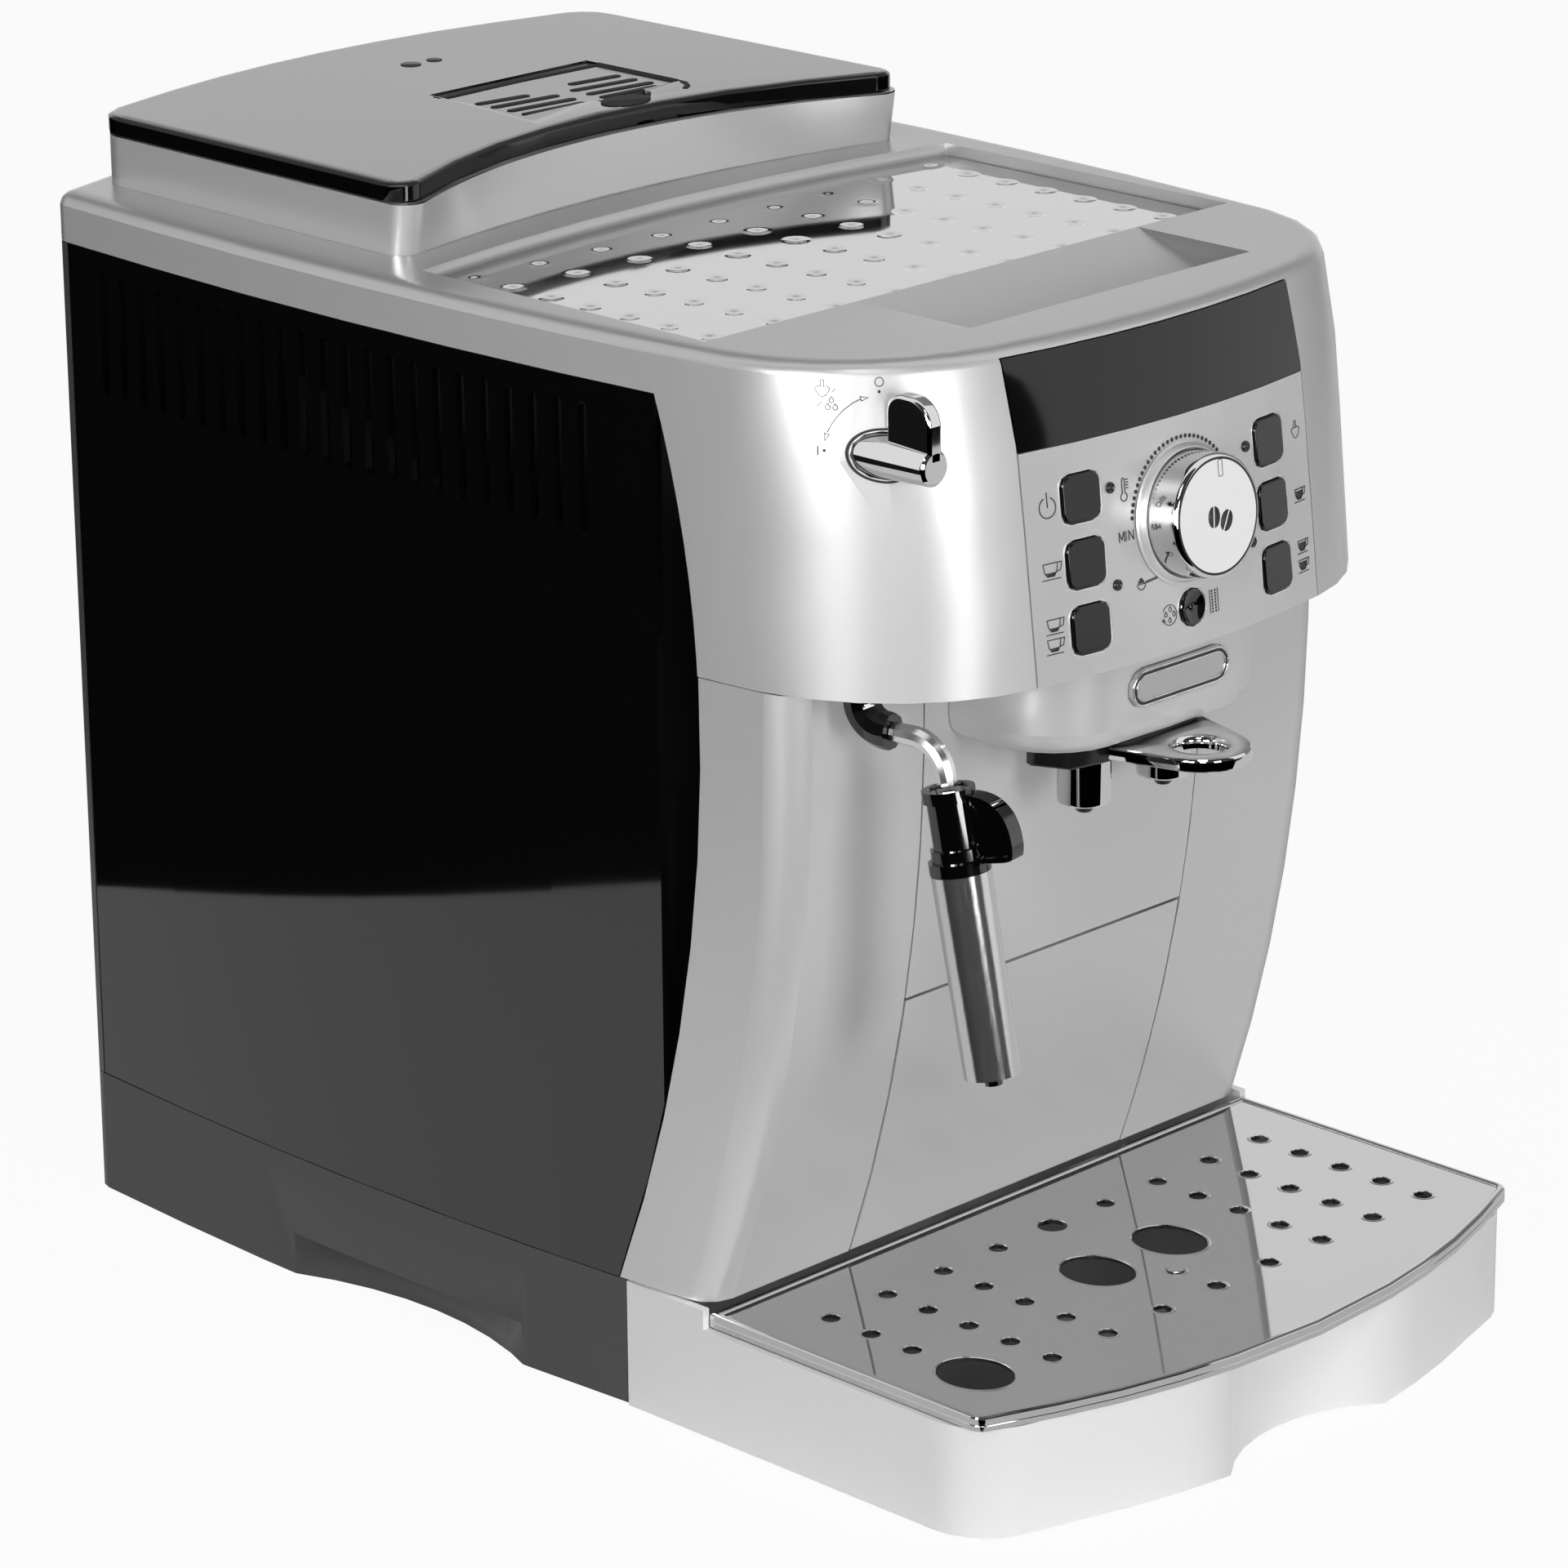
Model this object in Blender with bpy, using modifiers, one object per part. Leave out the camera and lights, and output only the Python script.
"""Bean to cup coffee machine, modelled as an assembly of its separate pieces.

Units are metres, +Z is up and the control panel faces -Y. The origin is the
middle of the overall width and depth, on the surface that the feet stand on.
"""

import math

import bmesh
import bpy
from mathutils import Matrix

# Overall size
MACHINE_WIDTH = 0.2496
MACHINE_DEPTH = 0.427
DECK_HEIGHT = 0.3275
HALF_WIDTH = MACHINE_WIDTH / 2
FRONT = -MACHINE_DEPTH / 2
REAR = MACHINE_DEPTH / 2

# Clearances and walls shared by many pieces, and the even profile of a rounded edge
ROUND_PROFILE_SHARE = 0.5
GAP = 0.0003
SEAM = 0.0005
CUT_OVERRUN = 0.004
SHELL_WALL = 0.0025
PANEL_WALL = 0.0025

# Bowed sides and rear of the body, seen from above
SIDE_BOW_RADIUS = 1.47
SIDE_BOW_Y = 0.0675
SIDE_BOW_STEPS = 6
REAR_BOW_RADIUS = 0.373
REAR_CORNER_RADIUS = 0.006
REAR_BOW_STEPS = 8

# Feet and base
FOOT_RADIUS = 0.009
FOOT_HEIGHT = 0.0012
FOOT_INSET = 0.024
BASE_TOP = 0.0408
BASE_SETBACK = 0.1640
BASE_FRONT = FRONT + BASE_SETBACK
BASE_WALL = 0.003
RECESS_HEIGHT = 0.0150
RECESS_DEPTH = 0.011
RECESS_HALF_LENGTH = 0.0530
RECESS_CENTRE_Y = 0.0414
RECESS_STEPS = 8

# Drip tray and its grid
TRAY_LOW = 0.0008
TRAY_RIM_HEIGHT = 0.0345
TRAY_REAR_HEIGHT = 0.0405
TRAY_WALL = 0.0025
TRAY_FLOOR = 0.003
TRAY_BOW_RADIUS = 0.280
TRAY_CORNER_RADIUS = 0.022
TRAY_FRONT_HALF_WIDTH = 0.1195
TRAY_BOW_STEPS = 4
TRAY_CORNER_STEPS = 5
TRAY_LIP = 0.0015
GRID_CORNER_RADIUS = 0.005
GRID_HALF_WIDTH = 0.1176
GRID_REAR_SETBACK = 0.1316
GRID_REAR = FRONT + GRID_REAR_SETBACK
GRIP_HALF_WIDTH = 0.0345
GRIP_DEPTH = 0.0125
GRIP_STEPS = 8
GRID_TOP = 0.0385
GRID_PLATE = 0.0013
GRID_RIM = 0.002
DRAIN_RADIUS = 0.003
DRAIN_BIG_RADIUS = 0.0048
DRAIN_PITCH_X = 0.02375
DRAIN_PITCH_Y = 0.01625
DRAIN_FIRST_ROW_INSET = 0.0269
DRAIN_FIRST_ROW = GRID_REAR - DRAIN_FIRST_ROW_INSET
DRAIN_COLUMNS = 9
DRAIN_ROWS = ((0, 1, 2, 3, 5, 6, 7, 8), (0, 1, 2, 6, 7, 8), (0, 1, 2, 6, 7, 8), (1, 2, 6, 7, 8),
              (1, 2, 3, 4, 5, 6, 7, 8))
DRAIN_SIDES = 8
CUP_HOLE_X = 0.016
CUP_HOLE_STEP = 0.0326
CUP_HOLE_Y = DRAIN_FIRST_ROW - CUP_HOLE_STEP
CUP_HOLE_HALF_WIDTH = 0.011
CUP_HOLE_HALF_LENGTH = 0.013
CUP_HOLE_SIDES = 16
LIFT_HOLE_X = -0.0945
LIFT_HOLE_STEP = 0.0567
LIFT_HOLE_Y = DRAIN_FIRST_ROW - LIFT_HOLE_STEP
FLOAT_STEP = 0.049
FLOAT_Y = DRAIN_FIRST_ROW - FLOAT_STEP
FLOAT_PIN_RADIUS = 0.0026
FLOAT_DISC_RADIUS = 0.012
FLOAT_DISC_HEIGHT = 0.008
FLOAT_PROUD = 0.0006

# Front face of the lower body
FACE_SETBACK = 0.1005
FACE_Y = FRONT + FACE_SETBACK
FACE_RADIUS = 0.507
FACE_TANGENT_HEIGHT = 0.215
FACE_STEPS = 7
FACE_CORNER_RADIUS = 0.0095
FACE_CORNER_STEPS = 3
SEAM_X = 0.060
CONTAINER_TOP = 0.1259
CONTAINER_DEPTH = 0.062
CONTAINER_RIGHT = 0.0415
CONTAINER_WALL = 0.002

# Edge where the dark side panel meets the silver front
SIDE_EDGE_SETBACK = 0.1332
SIDE_EDGE_Y = FRONT + SIDE_EDGE_SETBACK
SIDE_EDGE_HEIGHT = 0.2158
SIDE_EDGE_UPPER_RADIUS = 0.317
SIDE_EDGE_LOWER_RADIUS = 0.474
SIDE_EDGE_STEPS = 8

# Side panels
SIDE_PANEL_DROP = 0.0153
SIDE_PANEL_TOP = DECK_HEIGHT - SIDE_PANEL_DROP
VENT_COUNT = 23
VENT_PITCH = 0.00956
VENT_REAR_INSET = 0.0415
VENT_REAR_Y = REAR - VENT_REAR_INSET
VENT_WIDTH = 0.0036
VENT_HEIGHT = 0.0383
VENT_DROP = 0.0067

# Push buttons, whose rows set how tall the head is
BUTTON_X = 0.0399
BUTTON_TOP_DROP = 0.0444
BUTTON_PITCH = 0.0186
BUTTON_ROWS = 3
BUTTON_WIDTH = 0.0138
BUTTON_HEIGHT = 0.0136
BUTTON_DEPTH = 0.0055
BUTTON_PROUD = 0.0007
BUTTON_CORNER = 0.003
BUTTON_CLEARANCE = 0.0004

# Upper housing: the silver head and deck
HEAD_LOW_MARGIN = 0.0066
HEAD_HEIGHT = (BUTTON_TOP_DROP + (BUTTON_ROWS - 1) * BUTTON_PITCH + BUTTON_HEIGHT / 2
               + HEAD_LOW_MARGIN)
HEAD_BOTTOM = DECK_HEIGHT - HEAD_HEIGHT
HEAD_APEX_SETBACK = 0.0514
HEAD_APEX_Y = FRONT + HEAD_APEX_SETBACK
HEAD_LEAN = 0.117
HEAD_CURL_DROP = 0.0375
HEAD_CURL_HEIGHT = DECK_HEIGHT - HEAD_CURL_DROP
HEAD_CURL = 3.2
HEAD_BOW_RADIUS = 0.340
HEAD_SHOULDER_X = 0.061
HEAD_SIDE_TURN_SETBACK = 0.131
HEAD_SIDE_TURN_Y = FRONT + HEAD_SIDE_TURN_SETBACK
HEAD_SIDE_LEAN_SHARE = 0.63
HEAD_SIDE_HANDLE = 0.045
HEAD_FRONT_HANDLE = 0.028
HEAD_CORNER_STEPS = 7
HEAD_BOW_STEPS = 6
HEAD_LEVELS = 5
DECK_ROUND_HEIGHT = 0.004
DECK_ROUND_SIDE = 0.0055
DECK_ROUND_FRONT = 0.0038
DECK_ROUND_SHARES = (0.5, 0.8, 0.95, 1.0)
DECK_WALL = 0.0025
HEAD_FLOOR = 0.0025

# Cup shelf recess in the deck
SHELF_HALF_WIDTH = 0.1100
SHELF_FRONT = -0.077
SHELF_REAR = 0.0492
SHELF_BOW_RADIUS = 0.620
SHELF_BOW_STEPS = 6
SHELF_DEPTH = 0.0053
CUP_PLATE_THICKNESS = 0.0012
CUP_PLATE_MARGIN = 0.001
SCOOP_LEFT = -0.0495
SCOOP_RIGHT = 0.0695
SCOOP_LENGTH = 0.0435
SCOOP_LOW_SHARE = 0.76
SCOOP_DEPTH = 0.0062
PAN_WALL = 0.0025

# Control panel
FASCIA_HALF_WIDTH = 0.060
FASCIA_WALL = 0.003
DISPLAY_TOP_DROP = 0.0030
DISPLAY_LOW_DROP = 0.0286
RINSE_BUTTON_RADIUS = 0.0053
RINSE_BUTTON_DROP = 0.0839
LIGHT_X = 0.0289
LIGHT_DROPS = (0.0438, 0.0715)
LIGHT_RADIUS = 0.0013
LIGHT_STRIP_WIDTH = 0.005
LIGHT_STRIP_DEPTH = 0.0015
KNOB_DROP = 0.0566
KNOB_RADIUS = 0.018
KNOB_LENGTH = 0.0125
KNOB_CHAMFER = 0.0008
KNOB_RING_RADIUS = 0.0207
KNOB_RING_HEIGHT = 0.003
KNOB_SHAFT_RADIUS = 0.003
KNOB_SHAFT_LENGTH = 0.0100
BOARD_WIDTH = 0.098
BOARD_HEIGHT = 0.046
BOARD_THICKNESS = 0.0016

# Steam lever and its valve
LEVER_INSET = 0.0298
LEVER_X = -HALF_WIDTH + LEVER_INSET
LEVER_DROP = 0.0253
LEVER_BASE_RADIUS = 0.0062
LEVER_TIP_RADIUS = 0.0052
LEVER_REACH = 0.0187
LEVER_TAIL = 0.0120
LEVER_HOLE_CLEARANCE = 0.0006
PADDLE_HEIGHT = 0.0192
PADDLE_THICKNESS = 0.0052
PADDLE_DEPTH = 0.0165
PADDLE_SETBACK = 0.0012
VALVE_WIDTH = 0.011
VALVE_LOWER_DEPTH = 0.024
VALVE_LOWER_HEIGHT = 0.0265
VALVE_UPPER_DEPTH = 0.014

# Steam wand, measured along its heading from the swivel axis
WAND_INSET = 0.0293
WAND_X = -HALF_WIDTH + WAND_INSET
WAND_SETBACK = 0.091
WAND_Y = FRONT + WAND_SETBACK
WAND_HEADING_DEG = 10.0
ELBOW_RADIUS = 0.0053
ELBOW_BEND = 0.0085
ELBOW_DROP = 0.0099
ELBOW_REACH = 0.0105
TUBE_RADIUS = 0.0028
TUBE_RUN = 0.0072
TUBE_BEND = 0.0105
WAND_LEAN_DEG = 10.4
TUBE_TAIL = 0.004
BEND_STEPS = 6
GRIP_RADIUS = 0.0068
GRIP_COLLAR_RADIUS = 0.0078
GRIP_LENGTH = 0.0205
COLLAR_RADIUS = 0.0090
COLLAR_LENGTH = 0.0035
COLLAR_BAND = 0.0035
TAB_REACH = 0.0205
TAB_THICKNESS = 0.0058
TAB_HEIGHT = 0.0195
TAB_DROP = 0.0015
TAB_CORNER = 0.006
SLEEVE_RADIUS = 0.0087
SLEEVE_TIP_RADIUS = 0.0083
SLEEVE_LENGTH = 0.0590
SLEEVE_POCKET = 0.006
SLEEVE_WALL = 0.0009
NOZZLE_RADIUS = 0.0026
NOZZLE_PROUD = 0.0030

# Chin under the head, and the coffee spout in it
CHIN_HALF_WIDTH = 0.0500
CHIN_SETBACK = 0.0575
CHIN_FRONT = FRONT + CHIN_SETBACK
CHIN_HEIGHT = 0.0275
CHIN_BOTTOM = HEAD_BOTTOM - CHIN_HEIGHT
CHIN_CORNER = 0.026
CHIN_BOW_RADIUS = 0.42
CHIN_CORNER_STEPS = 6
CHIN_FILLET = 0.007
BADGE_WIDTH = 0.042
BADGE_HEIGHT = 0.0115
BADGE_PROUD = 0.0008
BADGE_DEPTH = 0.0016
BADGE_DROP = 0.0104
SPOUT_HALF_WIDTH = 0.031
SPOUT_SETBACK = 0.066
SPOUT_FRONT = FRONT + SPOUT_SETBACK
SPOUT_DEPTH = 0.030
SPOUT_DROP = 0.010
SPOUT_BOTTOM = CHIN_BOTTOM - SPOUT_DROP
SPOUT_CLEARANCE = 0.0008
POST_WIDTH = 0.024
POST_DEPTH = 0.010
POST_HEIGHT = 0.056
TONGUE_DROP = 0.0025
TONGUE_TOP = CHIN_BOTTOM - TONGUE_DROP
TONGUE_THICKNESS = 0.0045
TONGUE_HALF_WIDTH = 0.020
RING_OUTER_RADIUS = 0.0148
RING_HOLE_RADIUS = 0.0076
RING_REACH = 0.017
RING_STEPS = 12
OUTLET_X = 0.0171
OUTLET_RADIUS = 0.0079
OUTLET_LENGTH = 0.013
OUTLET_SETBACK = 0.0119
OUTLET_TIP_RADIUS = 0.0032
OUTLET_TIP_LENGTH = 0.003

# Bean hopper and lid
HOPPER_HALF_WIDTH = 0.1049
HOPPER_REAR_HALF_WIDTH = 0.1037
HOPPER_FRONT_BASE = 0.066
HOPPER_FRONT_TOP = 0.0755
HOPPER_BOW_BASE_RADIUS = 0.42
HOPPER_BOW_TOP_RADIUS = 0.2128
HOPPER_REAR_INSET = 0.0055
HOPPER_REAR = REAR - HOPPER_REAR_INSET
HOPPER_CORNER = 0.0065
HOPPER_REAR_CORNER = 0.014
HOPPER_CORNER_STEPS = 4
HOPPER_BOW_STEPS = 8
HOPPER_REAR_RADIUS = 0.330
HOPPER_WALL = 0.0022
HOPPER_HEIGHT = 0.0156
HOPPER_FLOOR = 0.002
NECK_LEFT = -0.035
NECK_RIGHT = 0.040
NECK_FRONT = 0.080
NECK_LENGTH = 0.098
NECK_DROP = 0.055
NECK_WALL = 0.002
CHUTE_RADIUS = 0.011
LID_OVERHANG = 0.0004
LID_FRONT = 0.078
LID_RIM = 0.0044
LID_THICKNESS = 0.0056
LID_EDGE_INSET = 0.0010
LID_TOP_INSET = 0.0030
LID_EDGE_SHARE = 0.70
LID_LIP_DROP = 0.003
LID_LIP_INSET = 0.0018
LID_LIP_WALL = 0.0016
LID_ROOT = 0.0010
FLAP_LEFT = -0.0185
FLAP_RIGHT = 0.0473
FLAP_REAR = 0.135
FLAP_LENGTH = 0.0415
FLAP_THICKNESS = 0.0018
FLAP_SINK = 0.0007
FLAP_LEDGE = 0.002
FINGER_X = 0.0205
FINGER_RADIUS = 0.011
ADJUSTER_X = -0.052
ADJUSTER_Y = 0.130
ADJUSTER_RADIUS = 0.011
ADJUSTER_HEIGHT = 0.010

# Inside of the machine
FLOOR_THICKNESS = 0.003
FLOOR_SETBACK = 0.195
FLOOR_FRONT = FRONT + FLOOR_SETBACK
WEB_THICKNESS = 0.0025
WEB_LEFT_X = -0.0375
WEB_RIGHT_X = 0.0425
WEB_REAR_INSET = 0.0255
WEB_REAR = REAR - WEB_REAR_INSET
GRINDER_Y = 0.130
GRINDER_RADIUS = 0.034
GRINDER_HEIGHT = 0.050
GRINDER_WALL = 0.003
BURR_RADIUS = 0.027
BURR_HEIGHT = 0.012
MOTOR_RADIUS = 0.024
MOTOR_HEIGHT = 0.085
MOTOR_SHAFT_RADIUS = 0.004
SHELF_PLATE = 0.003
BREW_LEFT = -0.030
BREW_RIGHT = 0.035
BREW_FRONT = -0.015
BREW_LENGTH = 0.080
BREW_HEIGHT = 0.105
CHAMBER_RADIUS = 0.026
CHAMBER_BORE = 0.021
CHAMBER_HEIGHT = 0.042
CHAMBER_FLOOR = 0.004
PISTON_CLEARANCE = 0.0005
PISTON_HEIGHT = 0.034
PISTON_TRAVEL = 0.015
BOILER_CLEARANCE = 0.0205
BOILER_RADIUS = (HALF_WIDTH + WEB_LEFT_X - WEB_THICKNESS - GAP - BOILER_CLEARANCE) / 2
BOILER_HEIGHT = 0.115
BOILER_Y = 0.020
PUMP_RADIUS = 0.022
PUMP_LENGTH = 0.065
PUMP_FRONT = 0.100
PUMP_OFFSET = 0.00315
PUMP_X = (WEB_LEFT_X - HALF_WIDTH) / 2 + PUMP_OFFSET
PUMP_FOOT_WIDTH = 0.030
PUMP_FOOT_HEIGHT = 0.006
POWER_BOARD_LENGTH = 0.058
POWER_BOARD_HEIGHT = 0.150
POWER_BOARD_THICKNESS = 0.0016
TANK_FRONT = -0.028
TANK_LENGTH = 0.133
TANK_TOP = 0.2560
TANK_WALL = 0.0022
TANK_CORNER = 0.004
TANK_PULL_WIDTH = 0.014
TANK_PULL_HEIGHT = 0.060
TANK_PULL_DEPTH = 0.007
TANK_PULL_HEIGHT_CENTRE = 0.150

# Mains inlet and switch on the rear
INLET_HEIGHT = 0.080
INLET_WIDTH = 0.052
INLET_TALL = 0.028
INLET_LENGTH = 0.026
INLET_WALL = 0.0025
INLET_PROUD = -0.0006
SOCKET_X = 0.0085
SOCKET_WIDTH = 0.024
SOCKET_TALL = 0.0165
PIN_WIDTH = 0.004
PIN_THICKNESS = 0.002
PIN_LENGTH = 0.014
PIN_SPREAD = 0.007
PIN_STAGGER = 0.002
SWITCH_X = -0.0145
SWITCH_WIDTH = 0.0125
SWITCH_TALL = 0.021
SWITCH_DEPTH = 0.012
SWITCH_PROUD = 0.0015
SWITCH_ROCK_GAP = 0.001
ROCKER_AXLE_RADIUS = 0.0015

# Smoothness of turned pieces
ROUND_SIDES = 24
SMALL_ROUND_SIDES = 12
SMOOTH_ANGLE_DEG = 35


def clear_scene():
    for old in list(bpy.data.objects):
        bpy.data.objects.remove(old, do_unlink=True)


def new_collection(name):
    group = bpy.data.collections.new(name)
    bpy.context.scene.collection.children.link(group)
    return group


clear_scene()
MODEL = new_collection("bean_to_cup_coffee_machine")
CUTTERS = new_collection("cutters")


# Materials

def finish(name, colour, roughness, metallic=0.0):
    material = bpy.data.materials.new(name)
    material.use_nodes = True
    shader = material.node_tree.nodes["Principled BSDF"]
    shader.inputs["Base Color"].default_value = (*colour, 1.0)
    shader.inputs["Roughness"].default_value = roughness
    shader.inputs["Metallic"].default_value = metallic
    return material


SILVER_PAINT = finish("silver_paint", (0.62, 0.62, 0.62), 0.38, 0.55)
GLOSS_BLACK = finish("gloss_black", (0.006, 0.006, 0.006), 0.08)
DARK_PLASTIC = finish("dark_plastic", (0.075, 0.075, 0.075), 0.45)
MIRROR_STEEL = finish("mirror_steel", (0.66, 0.66, 0.65), 0.12, 1.0)
CHROME = finish("chrome", (0.80, 0.80, 0.80), 0.06, 1.0)
BRUSHED_STEEL = finish("brushed_steel", (0.58, 0.58, 0.57), 0.28, 1.0)
RUBBER = finish("rubber", (0.03, 0.03, 0.03), 0.85)
WHITE_PLASTIC = finish("white_plastic", (0.70, 0.70, 0.68), 0.50)
CLEAR_PLASTIC = finish("clear_plastic", (0.55, 0.60, 0.64), 0.10)
GREEN_BOARD = finish("green_board", (0.03, 0.16, 0.07), 0.50)
LIGHT_LENS = finish("light_lens", (0.10, 0.10, 0.10), 0.15)
CERAMIC = finish("burr_steel", (0.40, 0.40, 0.40), 0.35, 1.0)


# Making and placing pieces

def place(name, shape, material=None, location=(0, 0, 0), rotation=(0, 0, 0), parent=None):
    """Turn a bmesh into an object of the model, or a cutter where it has no material."""
    mesh = bpy.data.meshes.new(name)
    bmesh.ops.recalc_face_normals(shape, faces=shape.faces)
    shape.to_mesh(mesh)
    shape.free()
    piece = bpy.data.objects.new(name, mesh)
    piece.location = location
    piece.rotation_euler = rotation
    if parent:
        piece.parent = parent
    if material:
        mesh.materials.append(material)
        mesh.shade_smooth()
        mesh.set_sharp_from_angle(angle=math.radians(SMOOTH_ANGLE_DEG))
        MODEL.objects.link(piece)
    else:
        piece.hide_render = True
        piece.display_type = "WIRE"
        CUTTERS.objects.link(piece)
    return piece


def pivot(name, location, rotation=(0, 0, 0), parent=None):
    """An empty on a joint's axis, which carries the pieces that move about it."""
    empty = bpy.data.objects.new(name, None)
    empty.location = location
    empty.rotation_euler = rotation
    if parent:
        empty.parent = parent
    MODEL.objects.link(empty)
    return empty


def combine(piece, other, operation="DIFFERENCE"):
    """Cut another body out of a piece, join it to it, or keep what they share."""
    step = piece.modifiers.new(other.name, "BOOLEAN")
    step.operation = operation
    step.solver = "EXACT"
    step.object = other


def round_edges(piece, width, segments=2, angle_deg=50):
    edge = piece.modifiers.new("rounded", "BEVEL")
    edge.width = width
    edge.segments = segments
    edge.limit_method = "ANGLE"
    edge.angle_limit = math.radians(angle_deg)


def block(size, centre=(0, 0, 0)):
    """A box of the given size about a centre."""
    shape = bmesh.new()
    bmesh.ops.create_cube(shape, size=1)
    bmesh.ops.scale(shape, vec=size, verts=shape.verts)
    bmesh.ops.translate(shape, vec=centre, verts=shape.verts)
    return shape


def block_between(low, high):
    """A box from its lowest to its highest corner."""
    size = [b - a for a, b in zip(low, high)]
    centre = [(a + b) / 2 for a, b in zip(low, high)]
    return block(size, centre)


def disc(radius, low, high, sides=ROUND_SIDES, axis="Z", centre=(0, 0), top_radius=None):
    """A round bar or cone along an axis, from low to high on it."""
    shape = bmesh.new()
    turn = {"X": Matrix.Rotation(math.pi / 2, 4, "Y"), "Y": Matrix.Rotation(-math.pi / 2, 4, "X"),
            "Z": Matrix.Identity(4)}[axis]
    bmesh.ops.create_cone(shape, cap_ends=True, segments=sides, radius1=radius,
                          radius2=radius if top_radius is None else top_radius, depth=high - low)
    bmesh.ops.transform(shape, matrix=turn, verts=shape.verts)
    middle = (low + high) / 2
    spot = {"X": (middle, *centre), "Y": (centre[0], middle, centre[1]), "Z": (*centre, middle)}[axis]
    bmesh.ops.translate(shape, vec=spot, verts=shape.verts)
    return shape


def prism(outline, low, high, axis="Z"):
    """An outline extruded along an axis: (x, y) along Z, (y, z) along X, (x, z) along Y."""
    shape = bmesh.new()
    lift = {"X": lambda p: (low, *p), "Y": lambda p: (p[0], low, p[1]), "Z": lambda p: (*p, low)}[axis]
    way = {"X": (high - low, 0, 0), "Y": (0, high - low, 0), "Z": (0, 0, high - low)}[axis]
    face = shape.faces.new([shape.verts.new(lift(p)) for p in outline])
    grown = bmesh.ops.extrude_face_region(shape, geom=[face])
    moved = [item for item in grown["geom"] if isinstance(item, bmesh.types.BMVert)]
    bmesh.ops.translate(shape, vec=way, verts=moved)
    return shape


def loft(sections):
    """A closed body through sections that have the same number of points."""
    shape = bmesh.new()
    rings = [[shape.verts.new(point) for point in section] for section in sections]
    shape.faces.new(rings[0])
    shape.faces.new(rings[-1])
    for lower, upper in zip(rings, rings[1:]):
        for index, vert in enumerate(lower):
            after = (index + 1) % len(lower)
            shape.faces.new((vert, lower[after], upper[after], upper[index]))
    return shape


def merge_shapes(shapes):
    """Several separate bodies in one bmesh, for a cutter with a pattern."""
    whole = bmesh.new()
    for shape in shapes:
        mesh = bpy.data.meshes.new("part_of_pattern")
        shape.to_mesh(mesh)
        shape.free()
        whole.from_mesh(mesh)
        bpy.data.meshes.remove(mesh)
    return whole


def turned(name, profile, material, location=(0, 0, 0), rotation=(0, 0, 0), parent=None, sides=ROUND_SIDES):
    """A turned piece: a (radius, height) profile, down its outer side, spun about Z."""
    mesh = bpy.data.meshes.new(name)
    points = [(radius, 0, height) for radius, height in profile]
    mesh.from_pydata(points, [(i, i + 1) for i in range(len(points) - 1)], [])
    if material:
        mesh.materials.append(material)
    piece = bpy.data.objects.new(name, mesh)
    piece.location = location
    piece.rotation_euler = rotation
    if parent:
        piece.parent = parent
    spin = piece.modifiers.new("spin", "SCREW")
    spin.steps = sides
    spin.render_steps = sides
    spin.use_merge_vertices = True
    spin.merge_threshold = GAP / 10
    (MODEL if material else CUTTERS).objects.link(piece)
    piece.hide_render = material is None
    piece.display_type = "TEXTURED" if material else "WIRE"
    return piece


def tube(name, points, radius, material, parent=None, location=(0, 0, 0), resolution=3):
    """A round rod along a path, with closed ends."""
    path = bpy.data.curves.new(name, "CURVE")
    path.dimensions = "3D"
    line = path.splines.new("POLY")
    line.points.add(len(points) - 1)
    for target, point in zip(line.points, points):
        target.co = (*point, 1)
    path.bevel_depth = radius
    path.bevel_resolution = resolution
    path.use_fill_caps = True
    path.materials.append(material)
    piece = bpy.data.objects.new(name, path)
    piece.location = location
    if parent:
        piece.parent = parent
    MODEL.objects.link(piece)
    return piece


# Outlines and surfaces

def arc(centre, radius, start_deg, end_deg, steps):
    """Points on an arc in a plane."""
    points = []
    for index in range(steps + 1):
        angle = math.radians(start_deg + (end_deg - start_deg) * index / steps)
        points.append((centre[0] + radius * math.cos(angle), centre[1] + radius * math.sin(angle)))
    return points


def bow_offset(x, radius):
    """How far a bowed front falls back from its middle at a distance x to the side."""
    return radius - math.sqrt(radius * radius - x * x)


def face_y(height):
    """Front face of the lower body at a height."""
    drop = max(FACE_TANGENT_HEIGHT - height, 0)
    return FACE_Y + bow_offset(drop, FACE_RADIUS)


def side_edge_y(height):
    """Edge between the dark side panel and the silver front at a height."""
    rise = height - SIDE_EDGE_HEIGHT
    radius = SIDE_EDGE_UPPER_RADIUS if rise > 0 else SIDE_EDGE_LOWER_RADIUS
    return SIDE_EDGE_Y + bow_offset(rise, radius)


def side_half(y):
    """Half the body's width at a distance y from its middle, on the bowed sides."""
    return HALF_WIDTH - bow_offset(y - SIDE_BOW_Y, SIDE_BOW_RADIUS)


def side_line(front, rear, inset=0.0, steps=SIDE_BOW_STEPS):
    """Points on the right side of the body, from front to rear."""
    stations = [front + (rear - front) * index / steps for index in range(steps + 1)]
    return [(side_half(y) - inset, y) for y in stations]


def deck_round(height):
    """Share of the deck's rounded edge that has turned inwards at a height."""
    share = max(height - DECK_HEIGHT + DECK_ROUND_HEIGHT, 0) / DECK_ROUND_HEIGHT
    return 1 - math.sqrt(max(1 - share * share, 0))


def head_setback(height):
    """How far the head's front falls back above its bottom edge."""
    curl = max(height - HEAD_CURL_HEIGHT, 0)
    lean = HEAD_LEAN * (height - HEAD_BOTTOM) + HEAD_CURL * curl * curl
    return lean + DECK_ROUND_FRONT * deck_round(height)


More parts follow.
